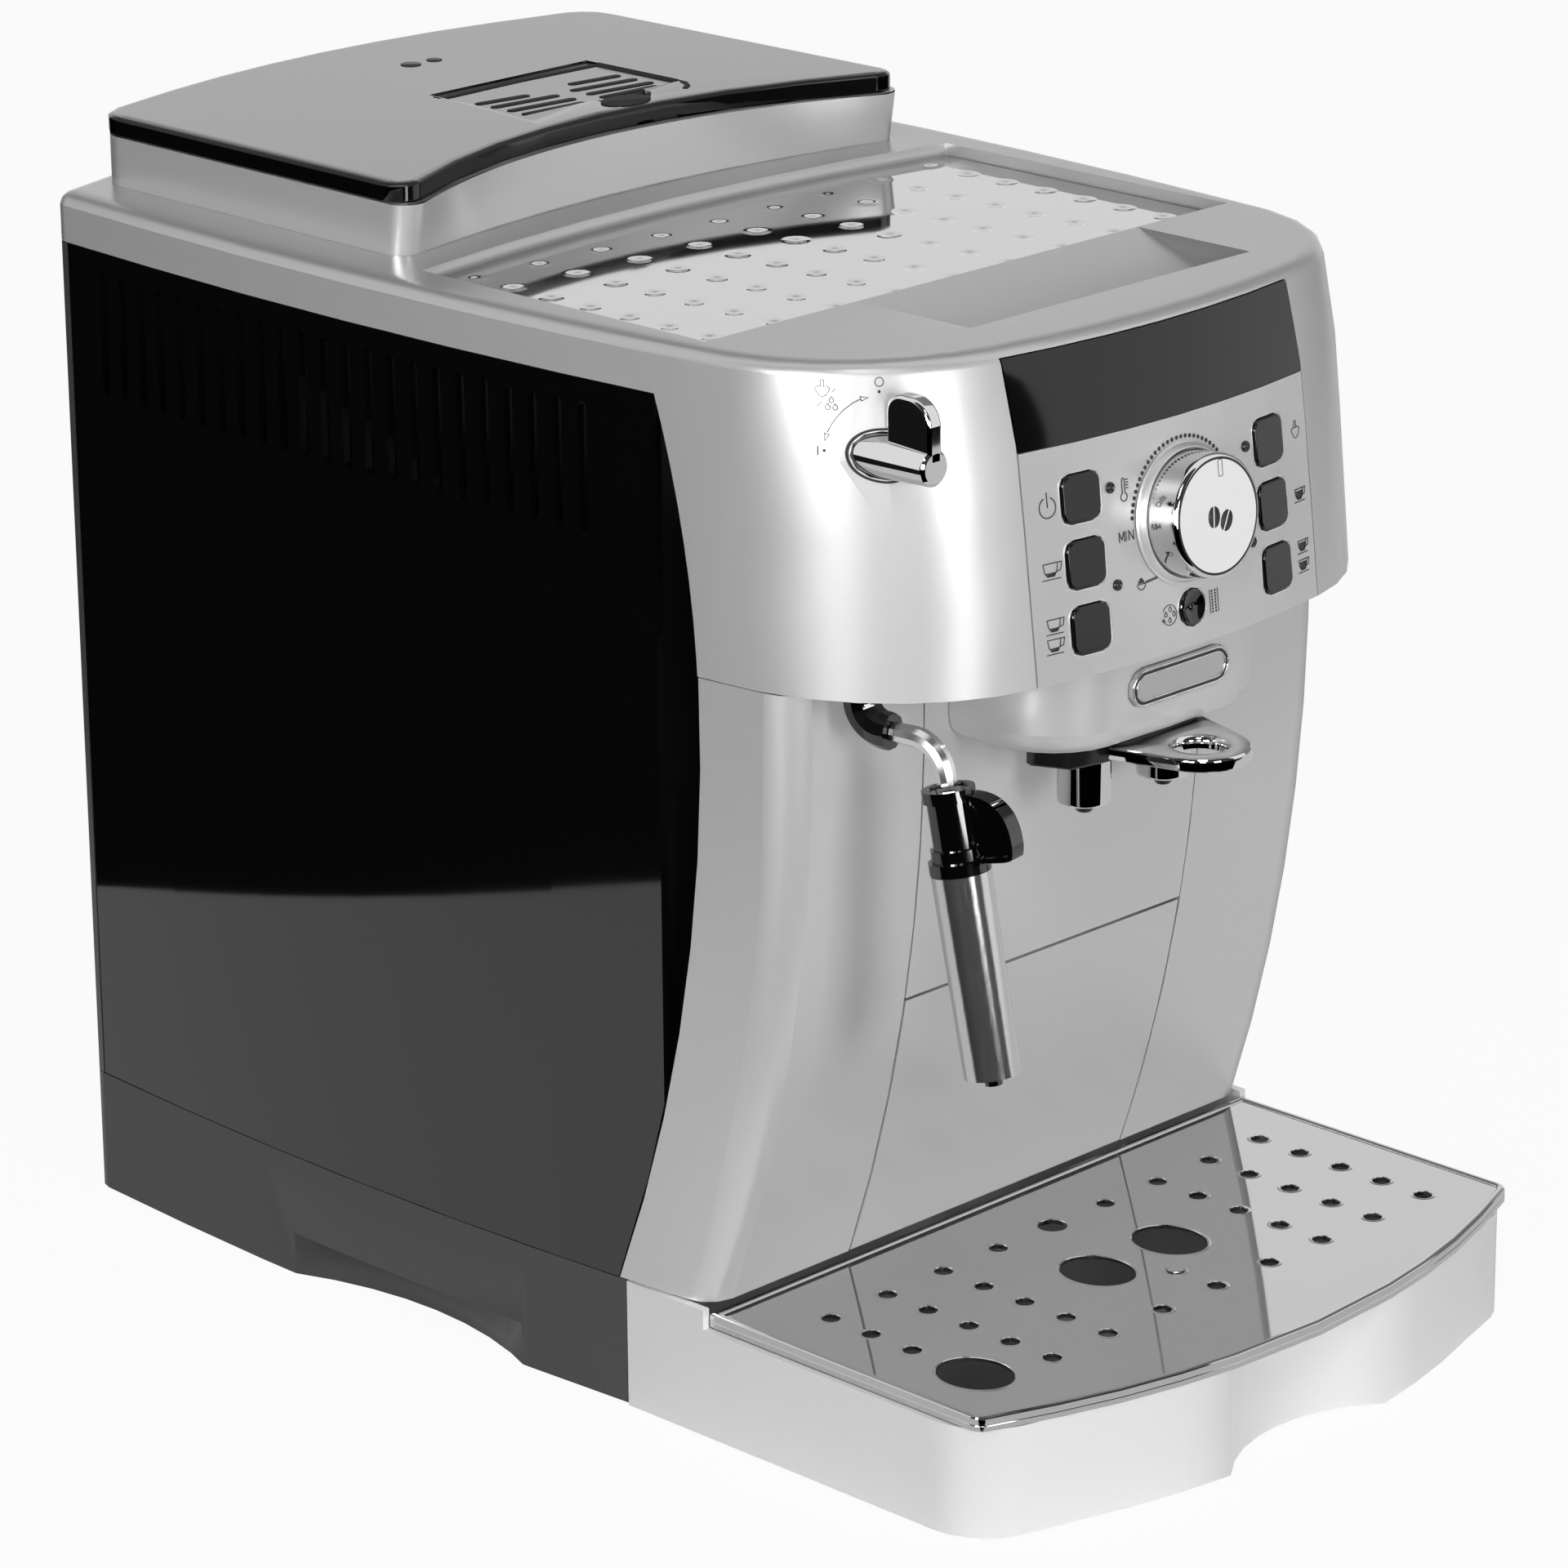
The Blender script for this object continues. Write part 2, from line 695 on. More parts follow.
def head_front_y(x, height):
    """Front surface of the head, between its shoulders."""
    return HEAD_APEX_Y + head_setback(height) + bow_offset(x, HEAD_BOW_RADIUS)


def bezier(a, b, c, d, share):
    rest = 1 - share
    weights = (rest ** 3, 3 * rest * rest * share, 3 * rest * share * share, share ** 3)
    return tuple(sum(w * p[k] for w, p in zip(weights, (a, b, c, d))) for k in (0, 1))


def rear_outline(inset=0.0, steps=REAR_BOW_STEPS):
    """The bowed rear of the body from right to left, with small corners."""
    corner = REAR_CORNER_RADIUS - inset
    reach_y = REAR - bow_offset(HALF_WIDTH, REAR_BOW_RADIUS) - REAR_CORNER_RADIUS
    corner_x = side_half(reach_y) - REAR_CORNER_RADIUS
    corner_y = REAR - bow_offset(corner_x, REAR_BOW_RADIUS) - REAR_CORNER_RADIUS
    right = arc((corner_x, corner_y), corner, 0, 70, 2)
    reach = corner_x
    bow = []
    for index in range(1, steps):
        x = reach - 2 * reach * index / steps
        bow.append((x, REAR - inset - bow_offset(x, REAR_BOW_RADIUS)))
    left = [(-x, y) for x, y in reversed(right)]
    return right + bow + left


REAR_HALF_WIDTH, REAR_CORNER_Y = rear_outline()[0]


def body_outline(front, inset=0.0):
    """Plan of the lower body, straight in front and bowed at its sides and rear."""
    right = side_line(front, REAR_CORNER_Y, inset)[:-1]
    left = [(-x, y) for x, y in reversed(right)]
    return right + rear_outline(inset) + left


def head_outline(height, inset=0.0):
    """Plan of the head and deck at a height, from its left side round the front."""
    rounded = DECK_ROUND_SIDE * deck_round(height)
    setback = head_setback(height)
    turn_y = HEAD_SIDE_TURN_Y + setback * HEAD_SIDE_LEAN_SHARE
    half = side_half(turn_y) - inset - rounded
    turn = (-half, turn_y)
    shoulder_x = HEAD_SHOULDER_X
    slope = math.asin(shoulder_x / HEAD_BOW_RADIUS)
    shoulder = (-shoulder_x, head_front_y(shoulder_x, height) + inset)
    low_handle = (-half, turn[1] - HEAD_SIDE_HANDLE)
    front_handle = (shoulder[0] - HEAD_FRONT_HANDLE * math.cos(slope),
                    shoulder[1] + HEAD_FRONT_HANDLE * math.sin(slope))
    left = []
    for index in range(HEAD_CORNER_STEPS + 1):
        left.append(bezier(turn, low_handle, front_handle, shoulder, index / HEAD_CORNER_STEPS))
    bow = []
    for index in range(1, HEAD_BOW_STEPS):
        x = -shoulder_x + 2 * shoulder_x * index / HEAD_BOW_STEPS
        bow.append((x, head_front_y(x, height) + inset))
    right = [(-x, y) for x, y in reversed(left)]
    side = side_line(turn_y, REAR_CORNER_Y, inset + rounded)[1:-1]
    back = rear_outline(inset + rounded)
    return left + bow + right + side + back + [(-x, y) for x, y in reversed(side)]


def head_heights(low, high):
    """Heights of the head's sections, close together where the deck's edge turns in."""
    bend = DECK_HEIGHT - DECK_ROUND_HEIGHT
    heights = [low + (min(bend, high) - low) * index / (HEAD_LEVELS - 1) for index in range(HEAD_LEVELS)]
    heights += [bend + DECK_ROUND_HEIGHT * share for share in DECK_ROUND_SHARES]
    return [z for z in heights if z < high - GAP] + [high]


def head_loft(inset, low, high):
    return loft([[(x, y, z) for x, y in head_outline(z, inset)] for z in head_heights(low, high)])


def front_band(half_width, outer, inner, low, high):
    """A curved slab that follows the head's front, between two depths behind it."""
    sections = []
    for height in head_heights(low, high):
        across = [-half_width + 2 * half_width * k / HEAD_BOW_STEPS for k in range(HEAD_BOW_STEPS + 1)]
        front = [(x, head_front_y(x, height) + outer, height) for x in across]
        back = [(x, head_front_y(x, height) + inner, height) for x in reversed(across)]
        sections.append(front + back)
    return loft(sections)


def panel_frame(x, height):
    """Point and turn of a piece that sits square on the control panel."""
    point = (x, head_front_y(x, height), height)
    lean = -math.atan(HEAD_LEAN)
    yaw = math.asin(x / HEAD_BOW_RADIUS)
    return point, (lean, 0, yaw)


# Base and feet

def make_base():
    low = FOOT_HEIGHT + GAP
    base = place("base", prism(body_outline(BASE_FRONT), low, BASE_TOP), DARK_PLASTIC)
    pocket_floor = RECESS_HEIGHT + BASE_WALL
    inner = body_outline(BASE_FRONT + BASE_WALL, BASE_WALL)
    combine(base, place("base_pocket", prism(inner, pocket_floor, BASE_TOP + CUT_OVERRUN)))
    side = REAR_HALF_WIDTH - RECESS_DEPTH - BASE_WALL
    under = block_between((-side, BASE_FRONT + FOOT_INSET, low - CUT_OVERRUN),
                          (side, REAR_CORNER_Y - FOOT_INSET, pocket_floor - BASE_WALL))
    combine(base, place("base_underside", under))
    for sign, name in ((-1, "left"), (1, "right")):
        combine(base, place(f"hand_recess_{name}", hand_recess(sign)))
    return base


def hand_recess(sign):
    """The curved hollow under a side of the base, where a hand lifts the machine."""
    radius = (RECESS_HALF_LENGTH ** 2 + RECESS_DEPTH ** 2) / (2 * RECESS_DEPTH)
    centre_x = side_half(RECESS_CENTRE_Y) - RECESS_DEPTH + radius
    points = []
    for index in range(RECESS_STEPS + 1):
        y = -RECESS_HALF_LENGTH + 2 * RECESS_HALF_LENGTH * index / RECESS_STEPS
        x = centre_x - math.sqrt(radius * radius - y * y)
        points.append((sign * x, RECESS_CENTRE_Y + y))
    outer = HALF_WIDTH + CUT_OVERRUN
    points.append((sign * outer, RECESS_CENTRE_Y + RECESS_HALF_LENGTH))
    points.append((sign * outer, RECESS_CENTRE_Y - RECESS_HALF_LENGTH))
    return prism(points, FOOT_HEIGHT - CUT_OVERRUN, RECESS_HEIGHT)


def make_feet():
    spots = []
    for y in (BASE_FRONT + FOOT_INSET / 2, REAR_CORNER_Y - FOOT_INSET / 2):
        for x in (-HALF_WIDTH + FOOT_INSET, HALF_WIDTH - FOOT_INSET):
            spots.append((x, y))
    for number, (x, y) in enumerate(spots, 1):
        place(f"foot_{number}", disc(FOOT_RADIUS, 0, FOOT_HEIGHT, ROUND_SIDES // 2), RUBBER, (x, y, 0))


# Side and rear panels

def side_edge_points(low, high, shift):
    points = []
    for index in range(SIDE_EDGE_STEPS + 1):
        height = high + (low - high) * index / SIDE_EDGE_STEPS
        points.append((side_edge_y(height) + shift, height))
    return points


def make_side_panels():
    low = BASE_TOP + GAP
    high = SIDE_PANEL_TOP - GAP
    outline = [(REAR_CORNER_Y - GAP, low), (REAR_CORNER_Y - GAP, high)] + side_edge_points(low, high, GAP)
    front = side_edge_y(high)
    bowed = side_line(front, REAR_CORNER_Y) + list(reversed(side_line(front, REAR_CORNER_Y, PANEL_WALL)))
    for sign, name in ((-1, "left"), (1, "right")):
        inner, outer = sorted((sign * (REAR_HALF_WIDTH - 2 * PANEL_WALL), sign * (HALF_WIDTH + CUT_OVERRUN)))
        plan = [(sign * x, y) for x, y in bowed]
        panel = place(f"{name}_side_panel", prism(plan, low - CUT_OVERRUN, high + CUT_OVERRUN), GLOSS_BLACK)
        combine(panel, place(f"{name}_side_shape", prism(outline, inner, outer, "X")), "INTERSECT")
        combine(panel, place(f"{name}_vents", vent_slots(sign)))
        if sign > 0:
            combine(panel, place("tank_window", block_between(
                (inner, TANK_FRONT - SEAM, BASE_TOP + FLOOR_THICKNESS + GAP),
                (outer, TANK_FRONT + TANK_LENGTH + SEAM, TANK_TOP + SEAM))))


def vent_slots(sign):
    """The row of upright slots near the top of a side panel."""
    top = SIDE_PANEL_TOP - VENT_DROP
    bottom = top - VENT_HEIGHT
    inner, outer = sorted((sign * (REAR_HALF_WIDTH - 2 * PANEL_WALL), sign * (HALF_WIDTH + CUT_OVERRUN)))
    half = VENT_WIDTH / 2
    slots = []
    for index in range(VENT_COUNT):
        y = VENT_REAR_Y - index * VENT_PITCH
        outline = arc((y, top - half), half, 0, 180, 3) + arc((y, bottom + half), half, 180, 360, 3)
        slots.append(prism(outline, inner, outer, "X"))
    return merge_shapes(slots)


def make_rear_panel():
    outer = rear_outline()
    inner = rear_outline(PANEL_WALL)
    outline = outer + list(reversed(inner))
    panel = place("rear_panel", prism(outline, BASE_TOP + GAP, SIDE_PANEL_TOP - GAP), DARK_PLASTIC)
    hole = block((INLET_WIDTH + 2 * GAP, INLET_LENGTH, INLET_TALL + 2 * GAP), (0, REAR, INLET_HEIGHT))
    combine(panel, place("inlet_hole", hole))


def make_inlet_and_switch():
    """One module with the mains socket and, beside it, the rocker switch."""
    back = REAR + INLET_PROUD
    size = (INLET_WIDTH, INLET_LENGTH, INLET_TALL)
    module = place("power_inlet", block(size, (0, -INLET_LENGTH / 2, 0)), DARK_PLASTIC, (0, back, INLET_HEIGHT))
    socket_length = INLET_LENGTH - INLET_WALL
    socket = block((SOCKET_WIDTH, socket_length, SOCKET_TALL), (0, CUT_OVERRUN - socket_length / 2, 0))
    combine(module, place("inlet_socket", socket, None, (SOCKET_X, back, INLET_HEIGHT)))
    pin_rear = back + CUT_OVERRUN - socket_length
    for index in (-1, 0, 1):
        pin = block((PIN_THICKNESS, PIN_LENGTH + GAP, PIN_WIDTH), (0, (PIN_LENGTH - GAP) / 2, 0))
        z = INLET_HEIGHT + (PIN_STAGGER if index == 0 else -PIN_STAGGER)
        spot = (SOCKET_X + index * PIN_SPREAD, pin_rear, z)
        combine(module, place(f"inlet_pin_{index + 2}", pin, None, spot), "UNION")
    pocket = block((SWITCH_WIDTH, 2 * SWITCH_DEPTH, SWITCH_TALL))
    combine(module, place("switch_pocket", pocket, None, (SWITCH_X, back, INLET_HEIGHT)))
    margin = SWITCH_ROCK_GAP * 2
    rocker_depth = SWITCH_DEPTH - SWITCH_ROCK_GAP
    rocker_size = (SWITCH_WIDTH - margin, rocker_depth, SWITCH_TALL - margin)
    rocker = place("power_rocker", block(rocker_size, (0, SWITCH_PROUD / 2, 0)), GLOSS_BLACK,
                   (SWITCH_X, back - SWITCH_DEPTH / 2, INLET_HEIGHT))
    round_edges(rocker, SWITCH_PROUD / 2, 1)
    reach = SWITCH_WIDTH / 2 - GAP
    axle = disc(ROCKER_AXLE_RADIUS, -reach, reach, SMALL_ROUND_SIDES, "X")
    combine(rocker, place("rocker_axle", axle, None, rocker.location), "UNION")


# Upper housing with its deck, head and recesses

def lower_rear_cut():
    """Everything under the deck's skirt and behind the side panel's front edge."""
    low = HEAD_BOTTOM - CUT_OVERRUN
    edge = side_edge_points(low, SIDE_PANEL_TOP, 0)
    outline = [(REAR + CUT_OVERRUN, low), (REAR + CUT_OVERRUN, SIDE_PANEL_TOP)] + edge
    reach = HALF_WIDTH + CUT_OVERRUN
    return prism(outline, -reach, reach, "X")


def shelf_outline(margin=0.0):
    """Plan of the cup shelf, straight in front and bowed behind."""
    half = SHELF_HALF_WIDTH - margin
    points = [(-half, SHELF_FRONT + margin), (half, SHELF_FRONT + margin)]
    for index in range(SHELF_BOW_STEPS + 1):
        x = half - 2 * half * index / SHELF_BOW_STEPS
        points.append((x, SHELF_REAR - margin - bow_offset(x, SHELF_BOW_RADIUS)))
    return points


def scoop_outline(extra=0.0):
    """Side view of the finger scoop in front of the cup shelf."""
    rear = SHELF_FRONT - GAP
    lowest = rear - SCOOP_LENGTH * SCOOP_LOW_SHARE
    front = rear - SCOOP_LENGTH
    floor = DECK_HEIGHT - SCOOP_DEPTH - extra
    top = DECK_HEIGHT + CUT_OVERRUN
    turn = (front + lowest) / 2
    return [(rear, top), (rear, DECK_HEIGHT), (lowest, floor), (turn, floor + SCOOP_DEPTH / 5),
            (front, DECK_HEIGHT), (front, top)]


def make_upper_housing():
    housing = place("upper_housing", head_loft(0.0, HEAD_BOTTOM, DECK_HEIGHT), SILVER_PAINT)
    inner = head_loft(SHELL_WALL, HEAD_BOTTOM + HEAD_FLOOR, DECK_HEIGHT - DECK_WALL)
    combine(housing, place("housing_hollow", inner))
    pan_low = DECK_HEIGHT - SHELF_DEPTH - PAN_WALL
    pan_high = DECK_HEIGHT - DECK_WALL / 2
    pan = place("shelf_pan", prism(shelf_outline(-PAN_WALL), pan_low, pan_high))
    combine(housing, pan, "UNION")
    scoop_low = DECK_HEIGHT - SCOOP_DEPTH - PAN_WALL
    scoop_pan = block_between((SCOOP_LEFT - PAN_WALL, SHELF_FRONT - SCOOP_LENGTH - PAN_WALL, scoop_low),
                              (SCOOP_RIGHT + PAN_WALL, SHELF_FRONT, pan_high))
    combine(housing, place("scoop_pan", scoop_pan), "UNION")
    combine(housing, place("lower_rear_cut", lower_rear_cut()))
    shelf = prism(shelf_outline(), DECK_HEIGHT - SHELF_DEPTH, DECK_HEIGHT + CUT_OVERRUN)
    combine(housing, place("shelf_recess", shelf))
    combine(housing, place("scoop_recess", prism(scoop_outline(), SCOOP_LEFT, SCOOP_RIGHT, "X")))
    neck = block_between((NECK_LEFT - SEAM, NECK_FRONT - SEAM, HEAD_BOTTOM),
                         (NECK_RIGHT + SEAM, NECK_FRONT + NECK_LENGTH + SEAM, DECK_HEIGHT + CUT_OVERRUN))
    combine(housing, place("hopper_opening", neck))
    opening = front_band(FASCIA_HALF_WIDTH + SEAM, -CUT_OVERRUN, FASCIA_WALL + GAP, HEAD_BOTTOM - CUT_OVERRUN,
                         DECK_HEIGHT - DISPLAY_TOP_DROP + GAP)
    combine(housing, place("control_opening", opening))
    hole = LEVER_BASE_RADIUS + LEVER_HOLE_CLEARANCE
    lever_hole = disc(hole, -LEVER_TAIL, LEVER_TAIL + CUT_OVERRUN, SMALL_ROUND_SIDES, "Y",
                      (LEVER_X, DECK_HEIGHT - LEVER_DROP))
    combine(housing, place("lever_hole", lever_hole, None, (0, lever_base_y(), 0)))
    elbow_hole = disc(ELBOW_RADIUS + SEAM, HEAD_BOTTOM - CUT_OVERRUN, HEAD_BOTTOM + HEAD_FLOOR + CUT_OVERRUN,
                      SMALL_ROUND_SIDES)
    combine(housing, place("elbow_hole", elbow_hole, None, (WAND_X, WAND_Y, 0)))
    slot = block((POST_WIDTH + 2 * SPOUT_CLEARANCE, POST_DEPTH + 2 * SPOUT_CLEARANCE,
                  HEAD_FLOOR + 2 * CUT_OVERRUN),
                 (0, post_y(), HEAD_BOTTOM + HEAD_FLOOR / 2))
    combine(housing, place("post_slot", slot))


def make_cup_plate():
    low = DECK_HEIGHT - SHELF_DEPTH + GAP
    place("cup_plate", prism(shelf_outline(CUP_PLATE_MARGIN), low, low + CUP_PLATE_THICKNESS), MIRROR_STEEL)


# Control panel

def button_spots():
    spots = []
    for row in range(BUTTON_ROWS):
        height = DECK_HEIGHT - BUTTON_TOP_DROP - row * BUTTON_PITCH
        for sign, side in ((-1, "left"), (1, "right")):
            spots.append((f"button_{side}_{row + 1}", sign * BUTTON_X, height))
    return spots


def button_block(extra=0.0, deep=0.0):
    """A push button about its place on the panel, grown by a clearance for its hole."""
    front = -BUTTON_PROUD - deep
    back = BUTTON_DEPTH - BUTTON_PROUD + deep
    size = (BUTTON_WIDTH + 2 * extra, back - front, BUTTON_HEIGHT + 2 * extra)
    shape = block(size, (0, (front + back) / 2, 0))
    upright = [e for e in shape.edges if abs(e.verts[0].co.y - e.verts[1].co.y) > BUTTON_DEPTH / 2]
    bmesh.ops.bevel(shape, geom=upright, offset=BUTTON_CORNER + extra, segments=2,
                    profile=ROUND_PROFILE_SHARE, affect="EDGES", material=-1)
    return shape


def make_control_panel():
    top = DECK_HEIGHT - DISPLAY_LOW_DROP
    fascia = place("control_fascia", front_band(FASCIA_HALF_WIDTH, 0, FASCIA_WALL, HEAD_BOTTOM, top - GAP),
                   SILVER_PAINT)
    window = front_band(FASCIA_HALF_WIDTH, 0, FASCIA_WALL, top, DECK_HEIGHT - DISPLAY_TOP_DROP)
    place("display_window", window, GLOSS_BLACK)
    for name, x, height in button_spots():
        point, turn = panel_frame(x, height)
        combine(fascia, place(f"{name}_hole", button_block(BUTTON_CLEARANCE, CUT_OVERRUN), None, point, turn))
        button = place(name, button_block(), GLOSS_BLACK, point, turn)
        round_edges(button, BUTTON_PROUD / 2, 1)
    height = DECK_HEIGHT - RINSE_BUTTON_DROP
    point, turn = panel_frame(0, height)
    hole = disc(RINSE_BUTTON_RADIUS + BUTTON_CLEARANCE, -CUT_OVERRUN, CUT_OVERRUN * 2, ROUND_SIDES // 2, "Y")
    combine(fascia, place("rinse_button_hole", hole, None, point, turn))
    rinse = disc(RINSE_BUTTON_RADIUS, -BUTTON_PROUD, BUTTON_DEPTH - BUTTON_PROUD, ROUND_SIDES // 2, "Y")
    place("rinse_button", rinse, GLOSS_BLACK, point, turn)
    make_lights(fascia)
    make_knob(fascia)


def make_lights(fascia):
    """On each side, two small lenses on one strip behind the fascia."""
    for sign, side in ((-1, "left"), (1, "right")):
        heights = [DECK_HEIGHT - drop for drop in LIGHT_DROPS]
        point, turn = panel_frame(sign * LIGHT_X, sum(heights) / 2)
        reach = (heights[0] - heights[1]) / 2 / math.cos(turn[0])
        strip_front = FASCIA_WALL + 2 * GAP
        strip = block((LIGHT_STRIP_WIDTH, LIGHT_STRIP_DEPTH, 2 * reach + LIGHT_STRIP_WIDTH),
                      (0, strip_front + LIGHT_STRIP_DEPTH / 2, 0))
        lights = place(f"indicator_lights_{side}", strip, LIGHT_LENS, point, turn)
        for index, z in enumerate((-reach, reach), 1):
            lens = disc(LIGHT_RADIUS, -GAP, strip_front + LIGHT_STRIP_DEPTH / 2, SMALL_ROUND_SIDES, "Y", (0, z))
            combine(lights, place(f"lens_{side}_{index}", lens, None, point, turn), "UNION")
            hole = disc(LIGHT_RADIUS + GAP, -CUT_OVERRUN, CUT_OVERRUN * 2, SMALL_ROUND_SIDES, "Y", (0, z))
            combine(fascia, place(f"lens_hole_{side}_{index}", hole, None, point, turn))


def make_knob(fascia):
    point, turn = panel_frame(0, DECK_HEIGHT - KNOB_DROP)
    front_turn = (turn[0] + math.pi / 2, 0, turn[2])
    sink = BUTTON_CLEARANCE
    knob_profile = [(0, KNOB_LENGTH), (KNOB_RADIUS - KNOB_CHAMFER, KNOB_LENGTH),
                    (KNOB_RADIUS, KNOB_LENGTH - KNOB_CHAMFER), (KNOB_RADIUS, sink), (KNOB_SHAFT_RADIUS, sink),
                    (KNOB_SHAFT_RADIUS, -KNOB_SHAFT_LENGTH), (0, -KNOB_SHAFT_LENGTH)]
    turned("volume_knob", knob_profile, CHROME, point, front_turn)
    inner = KNOB_RADIUS + BUTTON_CLEARANCE
    ring_profile = [(inner, KNOB_RING_HEIGHT), (inner + KNOB_CHAMFER, KNOB_RING_HEIGHT),
                    (KNOB_RING_RADIUS, GAP), (inner, GAP), (inner, KNOB_RING_HEIGHT)]
    turned("knob_ring", ring_profile, SILVER_PAINT, point, front_turn)
    hole = disc(KNOB_SHAFT_RADIUS + BUTTON_CLEARANCE, -CUT_OVERRUN, CUT_OVERRUN * 2, SMALL_ROUND_SIDES, "Y")
    combine(fascia, place("knob_shaft_hole", hole, None, point, turn))
    board = block((BOARD_WIDTH, BOARD_THICKNESS, BOARD_HEIGHT),
                  (0, KNOB_SHAFT_LENGTH + GAP + BOARD_THICKNESS / 2, 0))
    place("control_board", board, GREEN_BOARD, point, turn)


# Steam lever and valve

def lever_base_y():
    """Where the lever's axis leaves the head's left shoulder."""
    height = DECK_HEIGHT - LEVER_DROP
    outline = head_outline(height)
    for (x1, y1), (x2, y2) in zip(outline, outline[1:]):
        if x1 <= LEVER_X <= x2:
            return y1 + (y2 - y1) * (LEVER_X - x1) / (x2 - x1)
    return head_front_y(LEVER_X, height)


def make_steam_lever():
    axis = (LEVER_X, lever_base_y(), DECK_HEIGHT - LEVER_DROP)
    lever = place("steam_lever", disc(LEVER_TIP_RADIUS, -LEVER_REACH, LEVER_TAIL, ROUND_SIDES, "Y",
                                      top_radius=LEVER_BASE_RADIUS), CHROME, axis)
    rear = -LEVER_REACH + PADDLE_SETBACK + PADDLE_DEPTH
    front = -LEVER_REACH - PADDLE_SETBACK
    corner = PADDLE_DEPTH / 3
    outline = [(rear, 0), (rear, PADDLE_HEIGHT - corner)]
    outline += arc((rear - corner, PADDLE_HEIGHT - corner), corner, 0, 90, 3)[1:]
    outline += arc((front + 2 * corner, PADDLE_HEIGHT - 2 * corner), 2 * corner, 90, 180, 4)
    outline += [(front, 0)]
    outline = [(y, z) for y, z in outline]
    half = PADDLE_THICKNESS / 2
    paddle = place("lever_paddle", prism(outline, -half, half, "X"), None, axis)
    combine(lever, paddle, "UNION")


def make_steam_valve():
    y_rear = lever_base_y() + LEVER_TAIL + GAP + VALVE_UPPER_DEPTH
    low = HEAD_BOTTOM + HEAD_FLOOR + GAP
    half = VALVE_WIDTH / 2
    front = WAND_Y + SEAM
    valve = place("steam_valve", block_between((WAND_X - half, front, low),
                                               (WAND_X + half, y_rear, low + VALVE_LOWER_HEIGHT)), DARK_PLASTIC)
    top = DECK_HEIGHT - LEVER_DROP + VALVE_WIDTH / 2
    column = block_between((WAND_X - half, y_rear - VALVE_UPPER_DEPTH, low + VALVE_LOWER_HEIGHT / 2),
                           (WAND_X + half, y_rear, top))
    combine(valve, place("valve_column", column), "UNION")


# Steam wand

def bend(start, radius, start_deg, end_deg, steps=BEND_STEPS):
    """Points of a bend in the wand's own upright plane, as (0, y, z)."""
    return [(0, start[0] + y, start[1] + z) for y, z in arc((0, 0), radius, start_deg, end_deg, steps)]


def make_wand():
    swivel = pivot("wand_swivel", (WAND_X, WAND_Y, HEAD_BOTTOM), (0, 0, math.radians(WAND_HEADING_DEG)))
    level = -ELBOW_DROP
    elbow_path = [(0, 0, HEAD_FLOOR - GAP)]
    elbow_path += bend((-ELBOW_BEND, level + ELBOW_BEND), ELBOW_BEND, 0, -90)
    elbow_path.append((0, -ELBOW_REACH, level))
    tube("wand_elbow", elbow_path, ELBOW_RADIUS, GLOSS_BLACK, swivel)
    run_end = -ELBOW_REACH - TUBE_RUN
    path = [(0, -ELBOW_REACH - GAP, level)]
    path += bend((run_end, level - TUBE_BEND), TUBE_BEND, 90, 180 - WAND_LEAN_DEG)
    lean = math.radians(WAND_LEAN_DEG)
    down = (0, -math.sin(lean), -math.cos(lean))
    end = [a + TUBE_TAIL * b for a, b in zip(path[-1], down)]
    path.append(tuple(end))
    tube("wand_tube", path, TUBE_RADIUS, BRUSHED_STEEL, swivel)
    top = tuple(a + GAP * b for a, b in zip(end, down))
    shank = pivot("wand_lean", top, (-lean, 0, 0), swivel)
    make_grip(shank)
    make_frother(shank)


def make_grip(shank):
    band = COLLAR_BAND
    profile = [(0, 0), (GRIP_COLLAR_RADIUS, 0), (GRIP_COLLAR_RADIUS, -band), (GRIP_RADIUS, -band),
               (GRIP_RADIUS, -GRIP_LENGTH + band), (GRIP_COLLAR_RADIUS, -GRIP_LENGTH + band),
               (GRIP_COLLAR_RADIUS, -GRIP_LENGTH), (COLLAR_RADIUS, -GRIP_LENGTH),
               (COLLAR_RADIUS, -GRIP_LENGTH - COLLAR_LENGTH), (0, -GRIP_LENGTH - COLLAR_LENGTH)]
    grip = turned("wand_grip", profile, GLOSS_BLACK, parent=shank, sides=16)
    top = -TAB_DROP
    bottom = top - TAB_HEIGHT
    reach = -TAB_REACH
    outline = [(0, bottom), (0, top)]
    outline += arc((reach + TAB_CORNER * 2, top - TAB_CORNER * 2), TAB_CORNER * 2, 90, 180, 4)
    outline += arc((reach + TAB_CORNER / 2, bottom + TAB_CORNER / 2), TAB_CORNER / 2, 180, 270, 2)
    half = TAB_THICKNESS / 2
    tab = place("grip_tab", prism(outline, -half, half, "X"), None, parent=shank)
    combine(grip, tab, "UNION")


def make_frother(shank):
    top = -GRIP_LENGTH - COLLAR_LENGTH - GAP
    end = top - SLEEVE_LENGTH
    pocket = end + SLEEVE_POCKET
    inner = SLEEVE_TIP_RADIUS - SLEEVE_WALL
    profile = [(0, top), (SLEEVE_RADIUS, top), (SLEEVE_TIP_RADIUS, end), (inner, end), (inner, pocket), (0, pocket)]
    turned("frother_sleeve", profile, BRUSHED_STEEL, parent=shank, sides=20)
    tip = end - NOZZLE_PROUD
    nozzle = [(0, pocket - GAP), (NOZZLE_RADIUS * 2, pocket - GAP), (NOZZLE_RADIUS * 2, end + GAP),
              (NOZZLE_RADIUS, end), (NOZZLE_RADIUS, tip), (0, tip)]
    turned("steam_nozzle", nozzle, GLOSS_BLACK, parent=shank, sides=SMALL_ROUND_SIDES)


